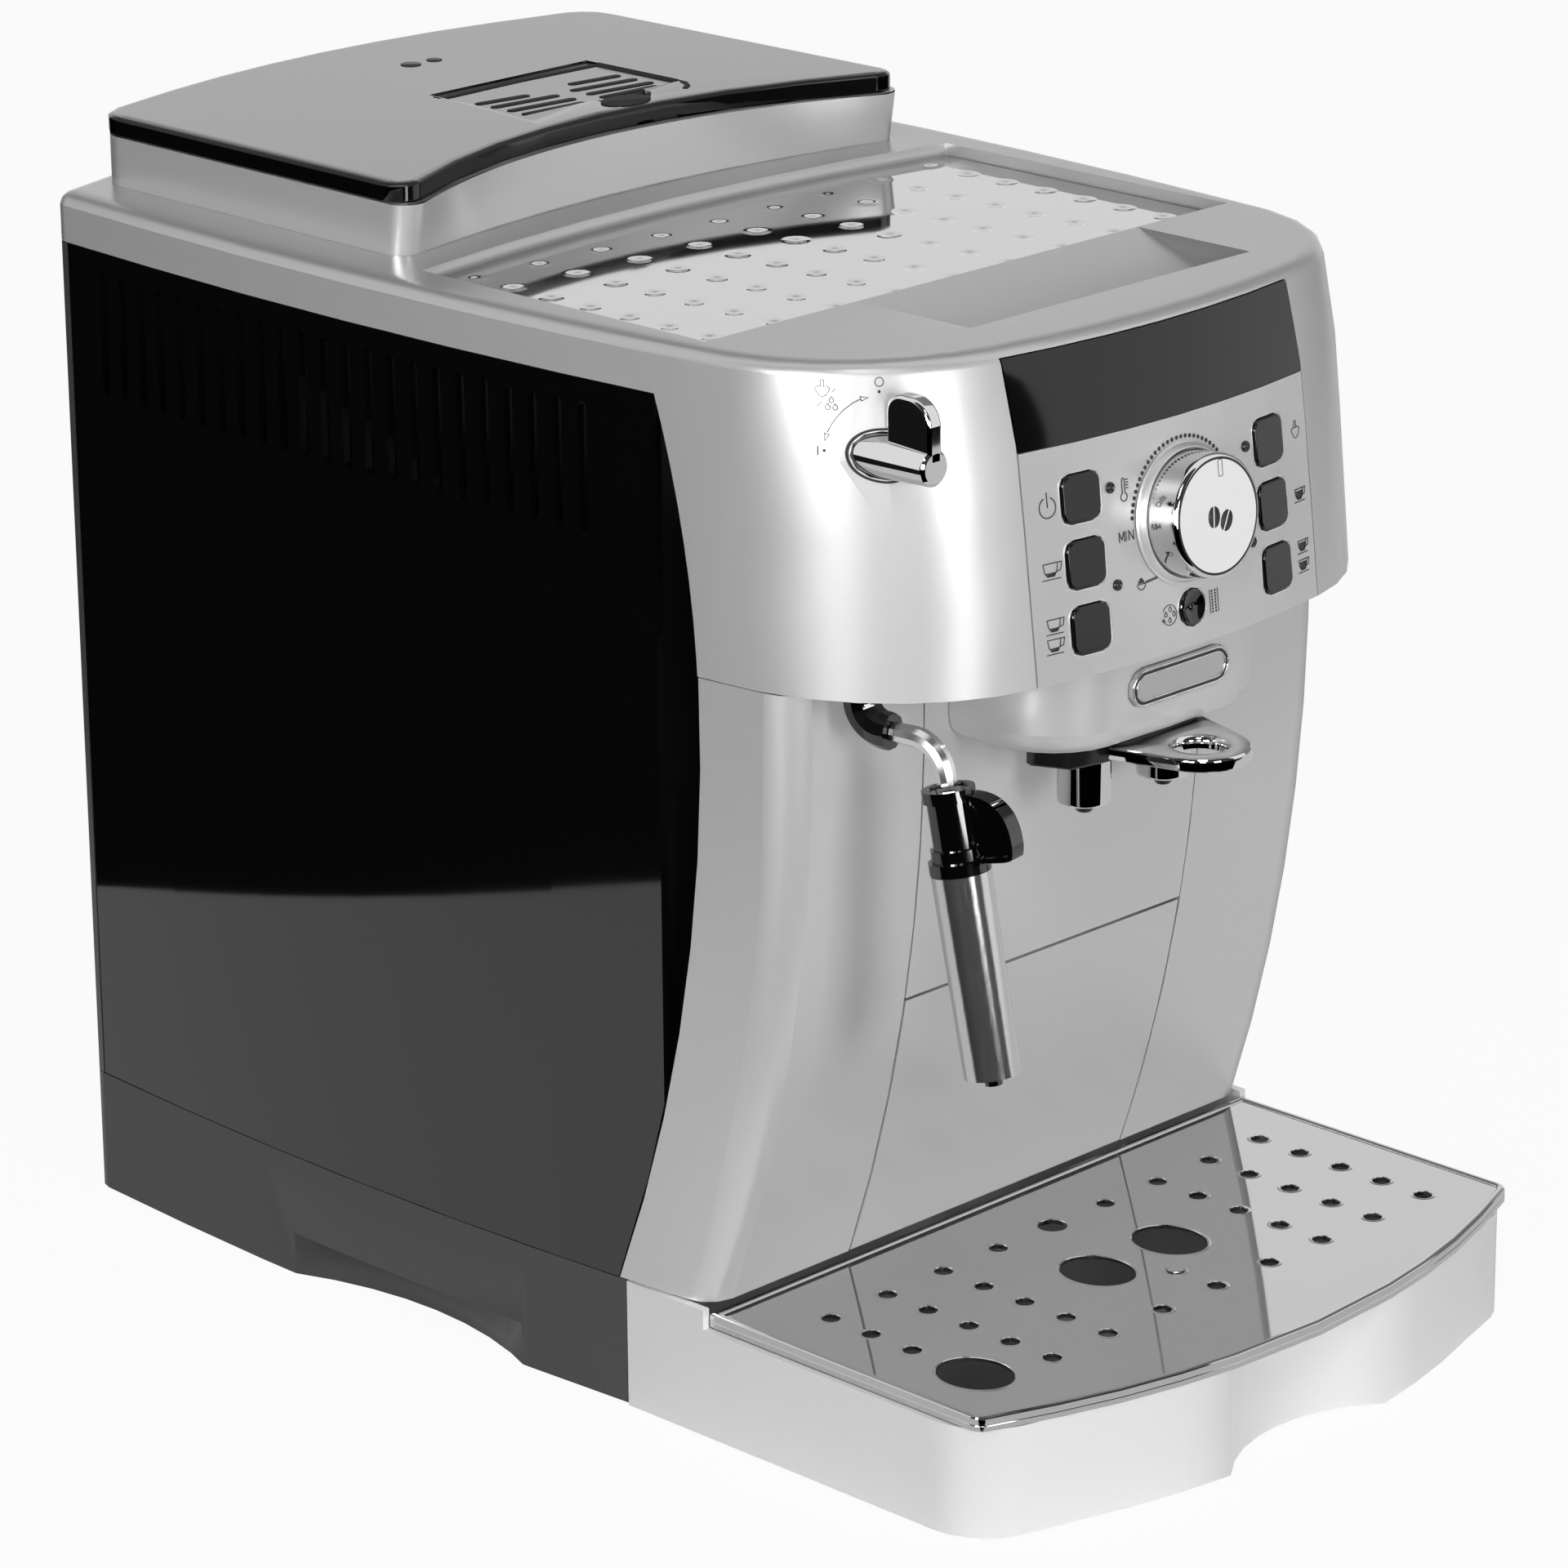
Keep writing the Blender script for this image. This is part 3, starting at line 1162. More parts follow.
# Chin and coffee spout

def chin_outline():
    corner = CHIN_CORNER
    x = CHIN_HALF_WIDTH - corner
    y = CHIN_FRONT + bow_offset(x, CHIN_BOW_RADIUS) + corner
    tangent = math.degrees(math.asin(x / CHIN_BOW_RADIUS))
    left = arc((-x, y), corner, 180, 270 - tangent, CHIN_CORNER_STEPS)
    middle = [(0, CHIN_FRONT)]
    right = [(-px, py) for px, py in reversed(left)]
    back = FACE_Y - GAP
    return [(-CHIN_HALF_WIDTH, back)] + left + middle + right + [(CHIN_HALF_WIDTH, back)]


def make_chin():
    top = HEAD_BOTTOM - GAP
    outline = chin_outline()
    shape = prism(outline, CHIN_BOTTOM, top)
    edges = [e for e in shape.edges if all(abs(v.co.z - CHIN_BOTTOM) < GAP for v in e.verts)
             and any(v.co.y < FACE_Y - 2 * GAP for v in e.verts)]
    bmesh.ops.bevel(shape, geom=edges, offset=CHIN_FILLET, segments=3, profile=ROUND_PROFILE_SHARE,
                    affect="EDGES", material=-1)
    chin = place("head_chin", shape, SILVER_PAINT)
    room = SPOUT_CLEARANCE
    spout_back = SPOUT_FRONT + SPOUT_DEPTH
    slot = block_between((-SPOUT_HALF_WIDTH - room, SPOUT_FRONT - room, CHIN_BOTTOM - CUT_OVERRUN),
                         (SPOUT_HALF_WIDTH + room, spout_back + room, top + CUT_OVERRUN))
    combine(chin, place("spout_slot", slot))
    height = HEAD_BOTTOM - BADGE_DROP
    radius = BADGE_HEIGHT / 2
    x = BADGE_WIDTH / 2 - radius
    outline = arc((x, height), radius, -90, 90, 5) + arc((-x, height), radius, 90, 270, 5)
    sunk = BADGE_DEPTH - BADGE_PROUD
    grown = arc((x, height), radius + GAP, -90, 90, 5) + arc((-x, height), radius + GAP, 90, 270, 5)
    combine(chin, place("badge_pocket", prism(grown, CHIN_FRONT - CUT_OVERRUN, CHIN_FRONT + sunk + GAP, "Y")))
    place("badge_plate", prism(outline, CHIN_FRONT - BADGE_PROUD, CHIN_FRONT + sunk, "Y"), MIRROR_STEEL)


def post_y():
    return SPOUT_FRONT + SPOUT_DEPTH / 2


def make_spout():
    top = HEAD_BOTTOM - GAP - SEAM
    carriage = place("spout_carriage", block_between((-SPOUT_HALF_WIDTH, SPOUT_FRONT, SPOUT_BOTTOM),
                                                     (SPOUT_HALF_WIDTH, SPOUT_FRONT + SPOUT_DEPTH, top)),
                     GLOSS_BLACK)
    post = block((POST_WIDTH, POST_DEPTH, POST_HEIGHT + SPOUT_DEPTH / 2),
                 (0, post_y(), HEAD_BOTTOM + (POST_HEIGHT - SPOUT_DEPTH / 2) / 2))
    combine(carriage, place("spout_post", post), "UNION")
    ring_y = SPOUT_FRONT - RING_REACH
    low = TONGUE_TOP - TONGUE_THICKNESS
    back = SPOUT_FRONT - GAP
    spread = math.degrees(math.asin(min(1.0, (TONGUE_HALF_WIDTH - RING_OUTER_RADIUS) / RING_REACH)))
    outline = [(TONGUE_HALF_WIDTH, back), (-TONGUE_HALF_WIDTH, back)]
    outline += arc((0, ring_y), RING_OUTER_RADIUS, 180 + spread, 360 - spread, RING_STEPS)
    frame = place("cup_ring_frame", prism(outline, low, TONGUE_TOP), CHROME)
    hole = disc(RING_HOLE_RADIUS, low - CUT_OVERRUN, TONGUE_TOP + CUT_OVERRUN, 16, "Z", (0, ring_y))
    combine(frame, place("cup_ring_hole", hole))
    outlet_y = SPOUT_FRONT + OUTLET_SETBACK
    for sign, side in ((-1, "left"), (1, "right")):
        high = SPOUT_BOTTOM - GAP
        end = high - OUTLET_LENGTH
        profile = [(0, high), (OUTLET_RADIUS, high), (OUTLET_RADIUS, end), (OUTLET_TIP_RADIUS, end),
                   (OUTLET_TIP_RADIUS, end - OUTLET_TIP_LENGTH), (0, end - OUTLET_TIP_LENGTH)]
        turned(f"coffee_outlet_{side}", profile, CHROME, (sign * OUTLET_X, outlet_y, 0), sides=16)


# Lower front: cheeks, middle panel and grounds container

def cheek_section(sign, height):
    """An L-shaped slice of a cheek, from the side panel's edge round to the seam."""
    front = face_y(height)
    corner = FACE_CORNER_RADIUS
    wall = SHELL_WALL
    side = side_edge_y(height) - GAP
    half = side_half(front + corner)
    points = [(side_half(side), side)]
    points += arc((half - corner, front + corner), corner, 0, -90, FACE_CORNER_STEPS)
    points += [(SEAM_X + GAP, front), (SEAM_X + GAP, front + wall)]
    inner = corner - wall
    points += arc((half - corner, front + corner), inner, -90, 0, FACE_CORNER_STEPS)
    points += [(side_half(side) - wall, side)]
    return [(sign * x, y, height) for x, y in points]


def make_cheeks():
    low = BASE_TOP + GAP
    high = HEAD_BOTTOM - GAP
    for sign, side in ((-1, "left"), (1, "right")):
        sections = [cheek_section(sign, low + (high - low) * k / FACE_STEPS) for k in range(FACE_STEPS + 1)]
        place(f"{side}_cheek", loft(sections), SILVER_PAINT)


def face_band(low, high, wall):
    """Side view of a wall that follows the front face between two heights."""
    heights = [low + (high - low) * k / FACE_STEPS for k in range(FACE_STEPS + 1)]
    return [(face_y(z), z) for z in heights] + [(face_y(z) + wall, z) for z in reversed(heights)]


def make_front_panel():
    reach = SEAM_X - GAP
    low = CONTAINER_TOP + 2 * SEAM
    place("front_panel", prism(face_band(low, HEAD_BOTTOM - GAP, SHELL_WALL), -reach, reach, "X"), SILVER_PAINT)


def make_grounds_container():
    reach = SEAM_X - 2 * GAP
    low = BASE_TOP + SEAM
    cover = prism(face_band(low, CONTAINER_TOP, SHELL_WALL), -reach, reach, "X")
    container = place("grounds_container", cover, SILVER_PAINT)
    front = face_y(low) + SHELL_WALL / 2
    rear = front + CONTAINER_DEPTH
    high = CONTAINER_TOP - SEAM
    left = -reach + SEAM
    tub_front = [(face_y(z) + SHELL_WALL / 2, z) for z in (low, (low + high) / 2, high)]
    tub = prism(tub_front + [(rear, high), (rear, low)], left, CONTAINER_RIGHT, "X")
    combine(container, place("container_tub", tub), "UNION")
    wall = CONTAINER_WALL
    hollow_front = [(face_y(z) + SHELL_WALL + wall, z) for z in (low + wall, (low + high) / 2, high)]
    hollow_front.append((hollow_front[-1][0], high + CUT_OVERRUN))
    hollow = prism(hollow_front + [(rear - wall, high + CUT_OVERRUN), (rear - wall, low + wall)],
                   left + wall, CONTAINER_RIGHT - wall, "X")
    combine(container, place("container_hollow", hollow))


# Drip tray, grid and float

def tray_half(y):
    """Half the tray's width, from the base's width behind to its own in front."""
    share = (BASE_FRONT - y) / (BASE_FRONT - FRONT)
    return side_half(BASE_FRONT) + (TRAY_FRONT_HALF_WIDTH - side_half(BASE_FRONT)) * share


def tray_corner(half, corner, apex):
    """Left front corner of the tray or its grid, and the bowed front next to it."""
    corner_x = half - corner
    tangent = math.degrees(math.asin(corner_x / TRAY_BOW_RADIUS))
    corner_y = apex + bow_offset(corner_x, TRAY_BOW_RADIUS) + corner
    points = arc((-corner_x, corner_y), corner, 180, 270 - tangent, TRAY_CORNER_STEPS)
    start = -points[-1][0]
    for index in range(1, TRAY_BOW_STEPS + 1):
        x = -start + (start - GRIP_HALF_WIDTH) * index / TRAY_BOW_STEPS
        points.append((x, apex + bow_offset(x, TRAY_BOW_RADIUS)))
    return points


def tray_outline(inset=0.0):
    """Plan of the tray: bowed front with a finger hollow, rounded front corners."""
    apex = FRONT + TRAY_LIP + inset
    left = tray_corner(TRAY_FRONT_HALF_WIDTH - inset, TRAY_CORNER_RADIUS - inset, apex)
    grip_y = left[-1][1]
    radius = (GRIP_HALF_WIDTH ** 2 + GRIP_DEPTH ** 2) / (2 * GRIP_DEPTH)
    middle = []
    for index in range(1, GRIP_STEPS):
        x = -GRIP_HALF_WIDTH + 2 * GRIP_HALF_WIDTH * index / GRIP_STEPS
        middle.append((x, grip_y + math.sqrt(radius * radius - x * x) - (radius - GRIP_DEPTH)))
    right = [(-x, y) for x, y in reversed(left)]
    back = BASE_FRONT - GAP - inset
    rear_half = tray_half(back) - inset
    return [(-rear_half, back)] + left + middle + right + [(rear_half, back)]


def grid_outline(inset=0.0):
    """Plan of the grid, whose bowed front reaches over the tray's rim."""
    left = tray_corner(GRID_HALF_WIDTH - inset, GRID_CORNER_RADIUS - inset, FRONT + inset)
    right = [(-x, y) for x, y in reversed(left)]
    rear = GRID_REAR - inset
    corner_x = GRID_HALF_WIDTH - inset
    return [(-corner_x, rear)] + left + [(0, FRONT + inset)] + right + [(corner_x, rear)]


def make_drip_tray():
    low = TRAY_LOW
    tray = place("drip_tray", prism(tray_outline(), low, TRAY_REAR_HEIGHT), SILVER_PAINT)
    step = block_between((-MACHINE_WIDTH, FRONT - CUT_OVERRUN, TRAY_RIM_HEIGHT),
                         (MACHINE_WIDTH, GRID_REAR + SEAM, BASE_TOP + CUT_OVERRUN))
    combine(tray, place("tray_front_step", step))
    inner = prism(tray_outline(TRAY_WALL), low + TRAY_FLOOR, BASE_TOP + CUT_OVERRUN)
    combine(tray, place("tray_hollow", inner))


def drain_spots():
    """Places and radii of the round holes in the grid."""
    spots = []
    middle = (DRAIN_COLUMNS - 1) / 2
    for row, columns in enumerate(DRAIN_ROWS):
        for column in columns:
            spots.append(((column - middle) * DRAIN_PITCH_X, DRAIN_FIRST_ROW - row * DRAIN_PITCH_Y, DRAIN_RADIUS))
    spots.append((0, DRAIN_FIRST_ROW, DRAIN_BIG_RADIUS))
    spots.append((0, FLOAT_Y, FLOAT_PIN_RADIUS + BUTTON_CLEARANCE))
    return spots


def oval(x, y, half_width, half_length):
    return [(x + half_width * a, y + half_length * b) for a, b in arc((0, 0), 1, 0, 360, CUP_HOLE_SIDES)[:-1]]


def make_drip_grid():
    low = TRAY_RIM_HEIGHT + GAP
    grid = place("drip_grid", prism(grid_outline(), low, GRID_TOP), MIRROR_STEEL)
    under = prism(grid_outline(GRID_RIM), low - CUT_OVERRUN, GRID_TOP - GRID_PLATE)
    combine(grid, place("grid_underside", under))
    drill_low = GRID_TOP - GRID_PLATE - CUT_OVERRUN
    drill_high = GRID_TOP + CUT_OVERRUN
    drills = []
    for x, y, radius in drain_spots():
        drills.append(disc(radius, drill_low, drill_high, DRAIN_SIDES, "Z", (x, y)))
    for x, y in ((-CUP_HOLE_X, CUP_HOLE_Y), (CUP_HOLE_X, CUP_HOLE_Y), (LIFT_HOLE_X, LIFT_HOLE_Y)):
        drills.append(prism(oval(x, y, CUP_HOLE_HALF_WIDTH, CUP_HOLE_HALF_LENGTH), drill_low, drill_high))
    combine(grid, place("grid_holes", merge_shapes(drills)))


def make_float():
    floor = TRAY_LOW + TRAY_FLOOR + GAP
    profile = [(0, GRID_TOP + FLOAT_PROUD), (FLOAT_PIN_RADIUS, GRID_TOP + FLOAT_PROUD),
               (FLOAT_PIN_RADIUS, floor + FLOAT_DISC_HEIGHT), (FLOAT_DISC_RADIUS, floor + FLOAT_DISC_HEIGHT),
               (FLOAT_DISC_RADIUS, floor), (0, floor)]
    turned("tray_float", profile, MIRROR_STEEL, (0, FLOAT_Y, 0), sides=SMALL_ROUND_SIDES)


# Hopper, lid and flap

def hopper_outline(front_middle, inset=0.0, bow=HOPPER_BOW_TOP_RADIUS):
    """Plan of the hopper: a front that bows inwards and a rear that bows outwards."""
    half = HOPPER_HALF_WIDTH - inset
    corner = HOPPER_CORNER - inset
    front = front_middle + inset
    bow_y = front - bow
    corner_x = half - corner
    corner_y = bow_y + math.sqrt((bow + corner) ** 2 - corner_x ** 2)
    tangent = math.degrees(math.atan2(corner_x, corner_y - bow_y))
    points = arc((-corner_x, corner_y), corner, 180, 270 + tangent, HOPPER_CORNER_STEPS)
    reach = -points[-1][0]
    for index in range(1, HOPPER_BOW_STEPS):
        x = -reach + 2 * reach * index / HOPPER_BOW_STEPS
        points.append((x, front - bow_offset(x, bow)))
    points += arc((corner_x, corner_y), corner, 270 - tangent, 360, HOPPER_CORNER_STEPS)
    rear = HOPPER_REAR - inset
    rear_corner = HOPPER_REAR_CORNER - inset
    reach = HOPPER_REAR_HALF_WIDTH - inset - rear_corner
    rear_y = rear - bow_offset(reach, HOPPER_REAR_RADIUS) - rear_corner
    points += arc((reach, rear_y), rear_corner, 0, 70, HOPPER_CORNER_STEPS - 1)
    for index in range(1, HOPPER_BOW_STEPS):
        x = reach - 2 * reach * index / HOPPER_BOW_STEPS
        points.append((x, rear - bow_offset(x, HOPPER_REAR_RADIUS)))
    points += arc((-reach, rear_y), rear_corner, 110, 180, HOPPER_CORNER_STEPS - 1)
    return points


def hopper_low():
    return DECK_HEIGHT + GAP


def hopper_section(height, inset):
    """Slice of the hopper at a height, between the outlines of its base and its rim."""
    share = (height - hopper_low()) / HOPPER_HEIGHT
    base = hopper_outline(HOPPER_FRONT_BASE, inset, HOPPER_BOW_BASE_RADIUS)
    rim = hopper_outline(HOPPER_FRONT_TOP, inset)
    return [(a[0] + (b[0] - a[0]) * share, a[1] + (b[1] - a[1]) * share, height) for a, b in zip(base, rim)]


def hopper_loft(low, high, inset):
    return loft([hopper_section(low, inset), hopper_section(high, inset)])


def make_hopper():
    low = hopper_low()
    high = low + HOPPER_HEIGHT
    hopper = place("bean_hopper", hopper_loft(low, high, 0.0), SILVER_PAINT)
    neck_low = DECK_HEIGHT - NECK_DROP
    rear = NECK_FRONT + NECK_LENGTH
    neck = block_between((NECK_LEFT, NECK_FRONT, neck_low), (NECK_RIGHT, rear, low + HOPPER_FLOOR))
    combine(hopper, place("hopper_neck", neck), "UNION")
    combine(hopper, place("hopper_hollow", hopper_loft(low + HOPPER_FLOOR, high + CUT_OVERRUN, HOPPER_WALL)))
    wall = NECK_WALL
    funnel_top = low + HOPPER_FLOOR + CUT_OVERRUN
    funnel_low = neck_low + wall
    middle_x = (NECK_LEFT + NECK_RIGHT) / 2
    small = CHUTE_RADIUS
    top_ring = [(NECK_LEFT + wall, NECK_FRONT + wall), (NECK_RIGHT - wall, NECK_FRONT + wall),
                (NECK_RIGHT - wall, rear - wall), (NECK_LEFT + wall, rear - wall)]
    low_ring = [(middle_x - small, GRINDER_Y - small), (middle_x + small, GRINDER_Y - small),
                (middle_x + small, GRINDER_Y + small), (middle_x - small, GRINDER_Y + small)]
    funnel = loft([[(x, y, funnel_low) for x, y in low_ring], [(x, y, funnel_top) for x, y in top_ring]])
    combine(hopper, place("hopper_funnel", funnel))
    chute = disc(CHUTE_RADIUS - GAP, neck_low - CUT_OVERRUN, funnel_low + CUT_OVERRUN, SMALL_ROUND_SIDES, "Z",
                 (middle_x, GRINDER_Y))
    combine(hopper, place("hopper_chute", chute))


def lid_low():
    return hopper_low() + HOPPER_HEIGHT + GAP


def make_lid():
    low = lid_low()
    high = low + LID_THICKNESS
    edge = low + LID_RIM
    shoulder = edge + (high - edge) * LID_EDGE_SHARE
    levels = ((low, -LID_OVERHANG), (edge, -LID_OVERHANG), (shoulder, LID_EDGE_INSET), (high, LID_TOP_INSET))
    body = loft([[(x, y, z) for x, y in hopper_outline(LID_FRONT, inset)] for z, inset in levels])
    lid = place("hopper_lid", body, GLOSS_BLACK)
    lip_inset = HOPPER_WALL + LID_LIP_INSET
    lip_low = low - LID_LIP_DROP
    lip = place("lid_lip", prism(hopper_outline(HOPPER_FRONT_TOP, lip_inset), lip_low, low + LID_ROOT))
    hole = prism(hopper_outline(HOPPER_FRONT_TOP, lip_inset + LID_LIP_WALL), lip_low - CUT_OVERRUN,
                 low + CUT_OVERRUN)
    combine(lip, place("lid_lip_hole", hole))
    combine(lid, lip, "UNION")
    flap_front = FLAP_REAR - FLAP_LENGTH
    bed = high - FLAP_SINK - FLAP_THICKNESS - GAP
    pocket = block_between((FLAP_LEFT - SEAM, flap_front - SEAM, bed),
                           (FLAP_RIGHT + SEAM, FLAP_REAR + SEAM, high + CUT_OVERRUN))
    combine(lid, place("flap_pocket", pocket))
    ledge = FLAP_LEDGE
    passage = block_between((FLAP_LEFT + ledge, flap_front + ledge, low - CUT_OVERRUN),
                            (FLAP_RIGHT - ledge, FLAP_REAR - ledge, high + CUT_OVERRUN))
    combine(lid, place("flap_passage", passage))
    finger = disc(FINGER_RADIUS, bed + GAP, high + CUT_OVERRUN, SMALL_ROUND_SIDES, "Z", (FINGER_X, flap_front))
    combine(lid, place("finger_hollow", finger))


def make_flap():
    high = lid_low() + LID_THICKNESS - FLAP_SINK
    flap_front = FLAP_REAR - FLAP_LENGTH
    axis = (0, FLAP_REAR, high)
    flap = place("funnel_flap", block_between((FLAP_LEFT, flap_front, high - FLAP_THICKNESS),
                                              (FLAP_RIGHT, FLAP_REAR, high)), GLOSS_BLACK)
    flap.data.transform(Matrix.Translation([-value for value in axis]))
    flap.location = axis


def make_grind_adjuster():
    low = hopper_low() + HOPPER_FLOOR + GAP
    high = low + ADJUSTER_HEIGHT
    lobes = 8
    outline = []
    for index in range(lobes * 2):
        radius = ADJUSTER_RADIUS if index % 2 == 0 else ADJUSTER_RADIUS - HOPPER_WALL
        angle = math.pi * index / lobes
        outline.append((radius * math.cos(angle), radius * math.sin(angle)))
    place("grind_adjuster", prism(outline, 0, high - low), DARK_PLASTIC, (ADJUSTER_X, ADJUSTER_Y, low))


# Inside: frame, grinder, brewing unit, boiler, pump, tank and boards

def make_chassis():
    low = BASE_TOP + GAP
    floor_top = low + FLOOR_THICKNESS
    half = REAR_HALF_WIDTH - PANEL_WALL - SEAM
    outline = [(-half, FLOOR_FRONT), (half, FLOOR_FRONT), (half, WEB_REAR), (-half, WEB_REAR)]
    chassis = place("chassis_frame", prism(outline, low, floor_top), DARK_PLASTIC)
    web_top = DECK_HEIGHT - SHELF_DEPTH - PAN_WALL - GAP
    for x, name in ((WEB_LEFT_X - WEB_THICKNESS, "left"), (WEB_RIGHT_X, "right")):
        web = block_between((x, FLOOR_FRONT + SHELF_PLATE, low + GAP),
                            (x + WEB_THICKNESS, WEB_REAR - SHELF_PLATE, web_top))
        combine(chassis, place(f"web_{name}", web), "UNION")
    shelf_top = motor_low() - GAP
    shelf = block_between((WEB_LEFT_X - WEB_THICKNESS / 2, BREW_FRONT + BREW_LENGTH + SEAM, shelf_top - SHELF_PLATE),
                          (WEB_RIGHT_X + WEB_THICKNESS / 2, WEB_REAR - 2 * SHELF_PLATE, shelf_top))
    combine(chassis, place("motor_shelf", shelf), "UNION")
    back = block_between((WEB_LEFT_X - WEB_THICKNESS / 2, WEB_REAR - 2 * SHELF_PLATE - WEB_THICKNESS,
                          floor_top - GAP),
                         (WEB_RIGHT_X + WEB_THICKNESS / 2, WEB_REAR - 2 * SHELF_PLATE, web_top - SEAM))
    combine(chassis, place("rear_web", back), "UNION")
    tank_wall = TANK_FRONT + TANK_LENGTH + 2 * SEAM
    wall = block_between((WEB_RIGHT_X + WEB_THICKNESS / 2, tank_wall, floor_top - GAP),
                         (half, tank_wall + WEB_THICKNESS, TANK_TOP))
    combine(chassis, place("tank_rear_wall", wall), "UNION")


def floor_level():
    return BASE_TOP + GAP + FLOOR_THICKNESS + GAP


def grinder_top():
    return DECK_HEIGHT - NECK_DROP - GAP


def motor_low():
    return grinder_top() - GRINDER_HEIGHT - GAP - MOTOR_HEIGHT


def make_grinder():
    x = (NECK_LEFT + NECK_RIGHT) / 2
    high = grinder_top()
    low = high - GRINDER_HEIGHT
    housing = place("grinder_housing", disc(GRINDER_RADIUS, low, high), DARK_PLASTIC, (x, GRINDER_Y, 0))
    hollow = disc(GRINDER_RADIUS - GRINDER_WALL, low + GRINDER_WALL, high + CUT_OVERRUN)
    combine(housing, place("grinder_hollow", hollow, None, (x, GRINDER_Y, 0)))
    shaft_room = MOTOR_SHAFT_RADIUS + SEAM
    hole = disc(shaft_room, low - CUT_OVERRUN, low + GRINDER_WALL + CUT_OVERRUN, SMALL_ROUND_SIDES)
    combine(housing, place("grinder_shaft_hole", hole, None, (x, GRINDER_Y, 0)))
    chute_low = low + GRINDER_WALL
    chute = block((CHUTE_RADIUS, GRINDER_WALL * 4, CHUTE_RADIUS),
                  (0, -GRINDER_RADIUS, chute_low + CHUTE_RADIUS / 2 + GAP))
    combine(housing, place("grinder_outlet", chute, None, (x, GRINDER_Y, 0)))
    burr_low = chute_low + GAP
    shaft = MOTOR_SHAFT_RADIUS
    cone = BURR_RADIUS - BURR_HEIGHT
    profile = [(0, burr_low + BURR_HEIGHT * 2), (cone, burr_low + BURR_HEIGHT * 2),
               (BURR_RADIUS, burr_low + BURR_HEIGHT),
               (BURR_RADIUS, burr_low), (shaft, burr_low), (shaft, low - GAP / 2), (0, low - GAP / 2)]
    turned("grinder_burr", profile, CERAMIC, (x, GRINDER_Y, 0))
    motor = disc(MOTOR_RADIUS, motor_low(), low - GAP)
    place("grinder_motor", motor, BRUSHED_STEEL, (x, GRINDER_Y, 0))


def make_brew_unit():
    low = floor_level()
    rear = BREW_FRONT + BREW_LENGTH
    unit = place("brew_unit", block_between((BREW_LEFT, BREW_FRONT, low), (BREW_RIGHT, rear, low + BREW_HEIGHT)),
                 DARK_PLASTIC)
    x = (BREW_LEFT + BREW_RIGHT) / 2
    y = (BREW_FRONT + rear) / 2
    top = low + BREW_HEIGHT + CHAMBER_HEIGHT
    chamber = disc(CHAMBER_RADIUS, low + BREW_HEIGHT - CHAMBER_FLOOR, top)
    combine(unit, place("brew_chamber", chamber, None, (x, y, 0)), "UNION")
    bore_low = low + BREW_HEIGHT + CHAMBER_FLOOR
    combine(unit, place("brew_bore", disc(CHAMBER_BORE, bore_low, top + CUT_OVERRUN), None, (x, y, 0)))
    piston_low = bore_low + PISTON_TRAVEL + SEAM
    piston = disc(CHAMBER_BORE - PISTON_CLEARANCE, piston_low, piston_low + PISTON_HEIGHT)
    place("brew_piston", piston, WHITE_PLASTIC, (x, y, 0))


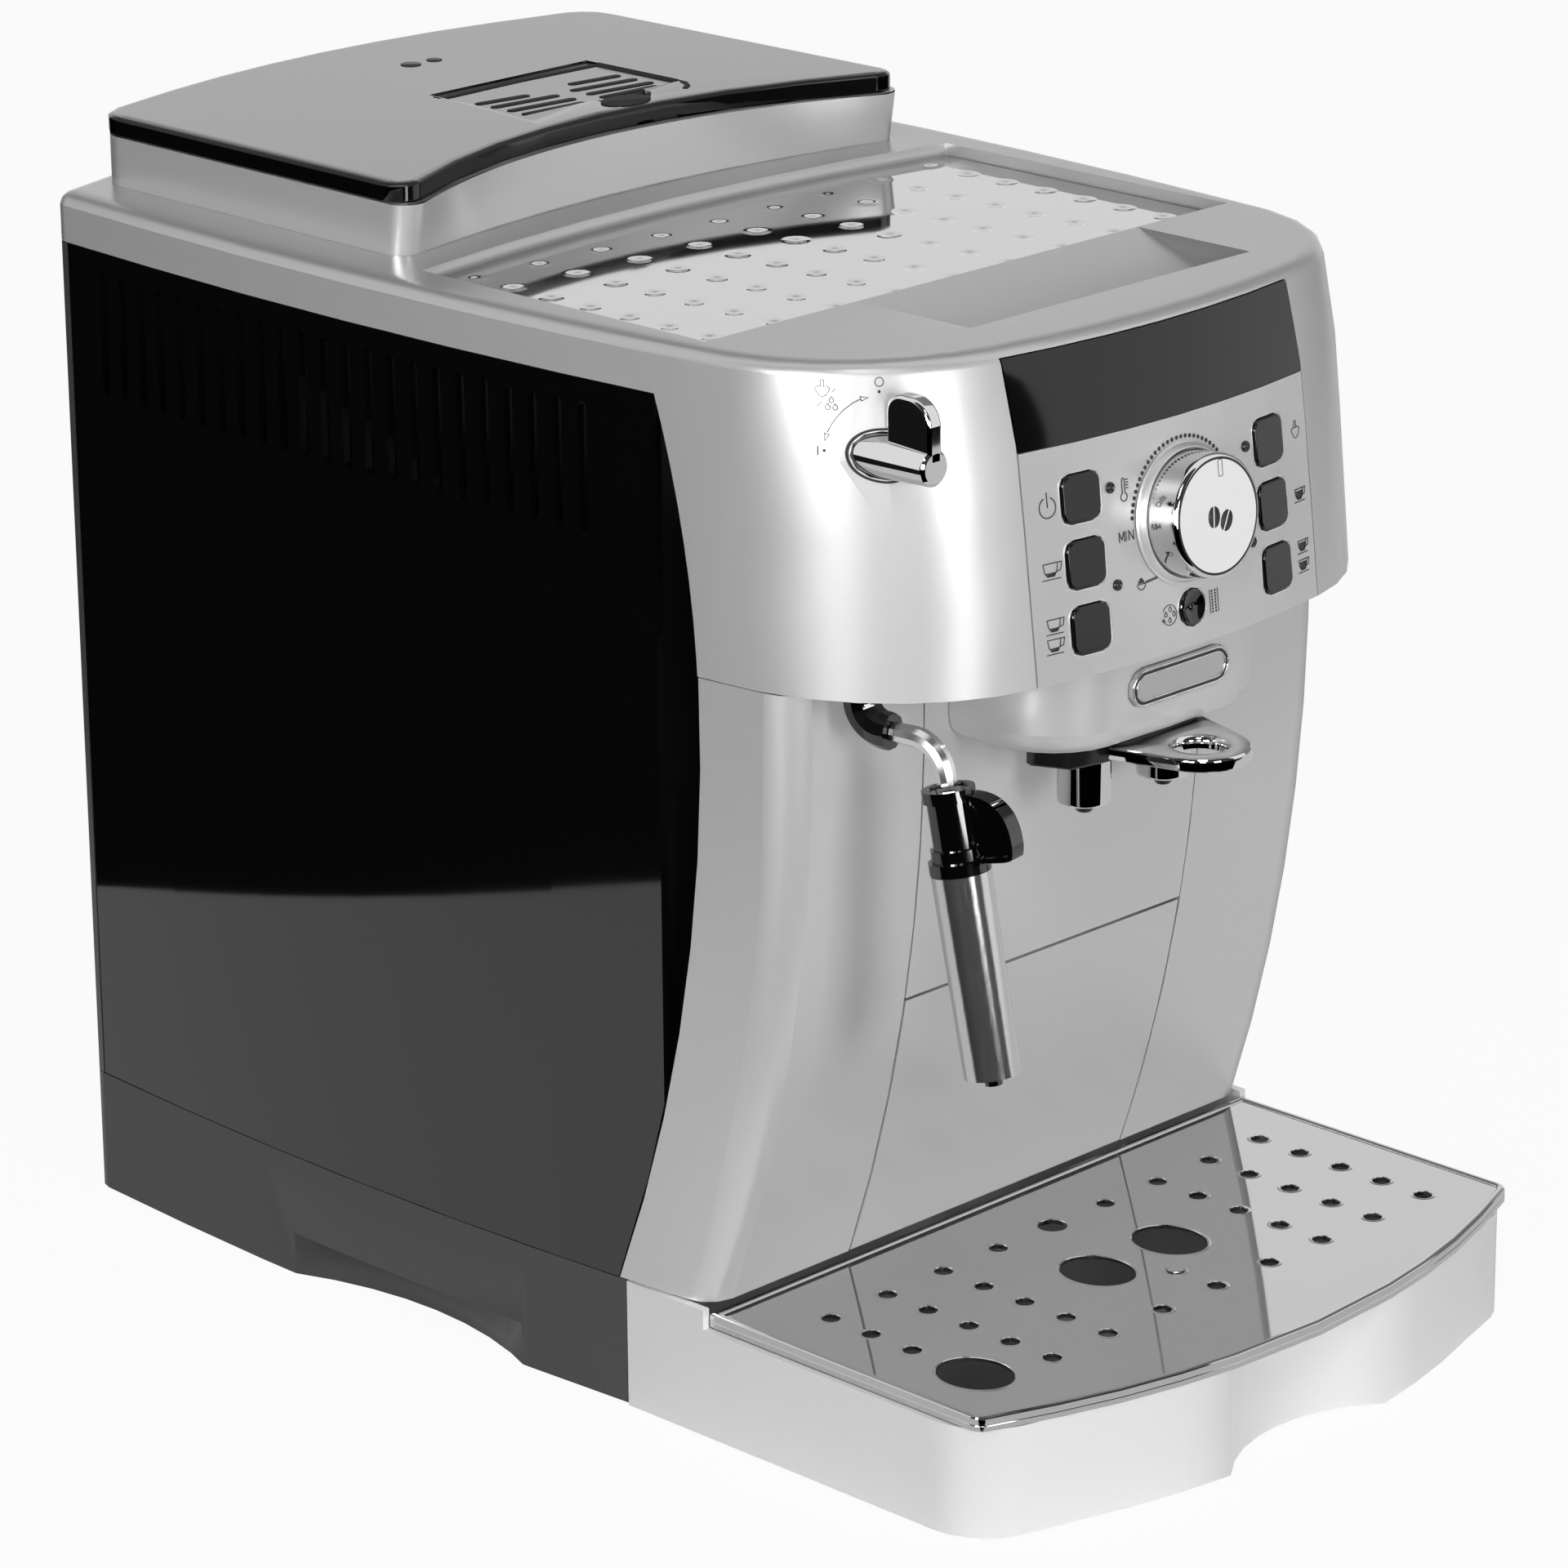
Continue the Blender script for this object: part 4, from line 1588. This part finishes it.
def make_boiler_and_pump():
    low = floor_level()
    x = WEB_LEFT_X - WEB_THICKNESS - GAP - BOILER_RADIUS
    place("boiler", disc(BOILER_RADIUS, low, low + BOILER_HEIGHT), BRUSHED_STEEL, (x, BOILER_Y, 0))
    centre_z = low + PUMP_FOOT_HEIGHT + PUMP_RADIUS
    pump = place("water_pump", disc(PUMP_RADIUS, 0, PUMP_LENGTH, ROUND_SIDES, "Y"), DARK_PLASTIC,
                 (PUMP_X, PUMP_FRONT, centre_z))
    foot = block((PUMP_FOOT_WIDTH, PUMP_LENGTH - PUMP_FOOT_HEIGHT, PUMP_FOOT_HEIGHT * 2),
                 (PUMP_X, PUMP_FRONT + PUMP_LENGTH / 2, low + PUMP_FOOT_HEIGHT))
    combine(pump, place("pump_foot", foot), "UNION")


def make_power_board():
    x = WEB_RIGHT_X + WEB_THICKNESS + GAP
    low = floor_level()
    front = TANK_FRONT + TANK_LENGTH + 2 * SEAM + WEB_THICKNESS + GAP
    place("power_board", block_between((x, front, low), (x + POWER_BOARD_THICKNESS, front + POWER_BOARD_LENGTH,
                                                         low + POWER_BOARD_HEIGHT)), GREEN_BOARD)


def make_water_tank():
    left = WEB_RIGHT_X + WEB_THICKNESS + SEAM
    rear = TANK_FRONT + TANK_LENGTH
    low = floor_level()
    wall = TANK_WALL
    outline = side_line(TANK_FRONT, rear, GAP) + [(left, rear), (left, TANK_FRONT)]
    tank = place("water_tank", prism(outline, low, TANK_TOP), CLEAR_PLASTIC)
    round_edges(tank, TANK_CORNER, 2)
    pull_y = TANK_FRONT + TANK_PULL_WIDTH
    hollow_front = TANK_FRONT + 2 * TANK_PULL_WIDTH
    hollow = block_between((left + wall, hollow_front, low + wall),
                           (side_half(hollow_front) - GAP - wall, rear - wall, TANK_TOP + CUT_OVERRUN))
    combine(tank, place("tank_hollow", hollow))
    pull = block((TANK_PULL_DEPTH * 2, TANK_PULL_WIDTH, TANK_PULL_HEIGHT),
                 (side_half(pull_y), pull_y, TANK_PULL_HEIGHT_CENTRE))
    combine(tank, place("tank_pull", pull))


def build_machine():
    make_base()
    make_feet()
    make_side_panels()
    make_rear_panel()
    make_inlet_and_switch()
    make_upper_housing()
    make_cup_plate()
    make_control_panel()
    make_steam_lever()
    make_steam_valve()
    make_wand()
    make_chin()
    make_spout()
    make_cheeks()
    make_front_panel()
    make_grounds_container()
    make_drip_tray()
    make_drip_grid()
    make_float()
    make_hopper()
    make_lid()
    make_flap()
    make_grind_adjuster()
    make_chassis()
    make_grinder()
    make_brew_unit()
    make_boiler_and_pump()
    make_power_board()
    make_water_tank()


build_machine()
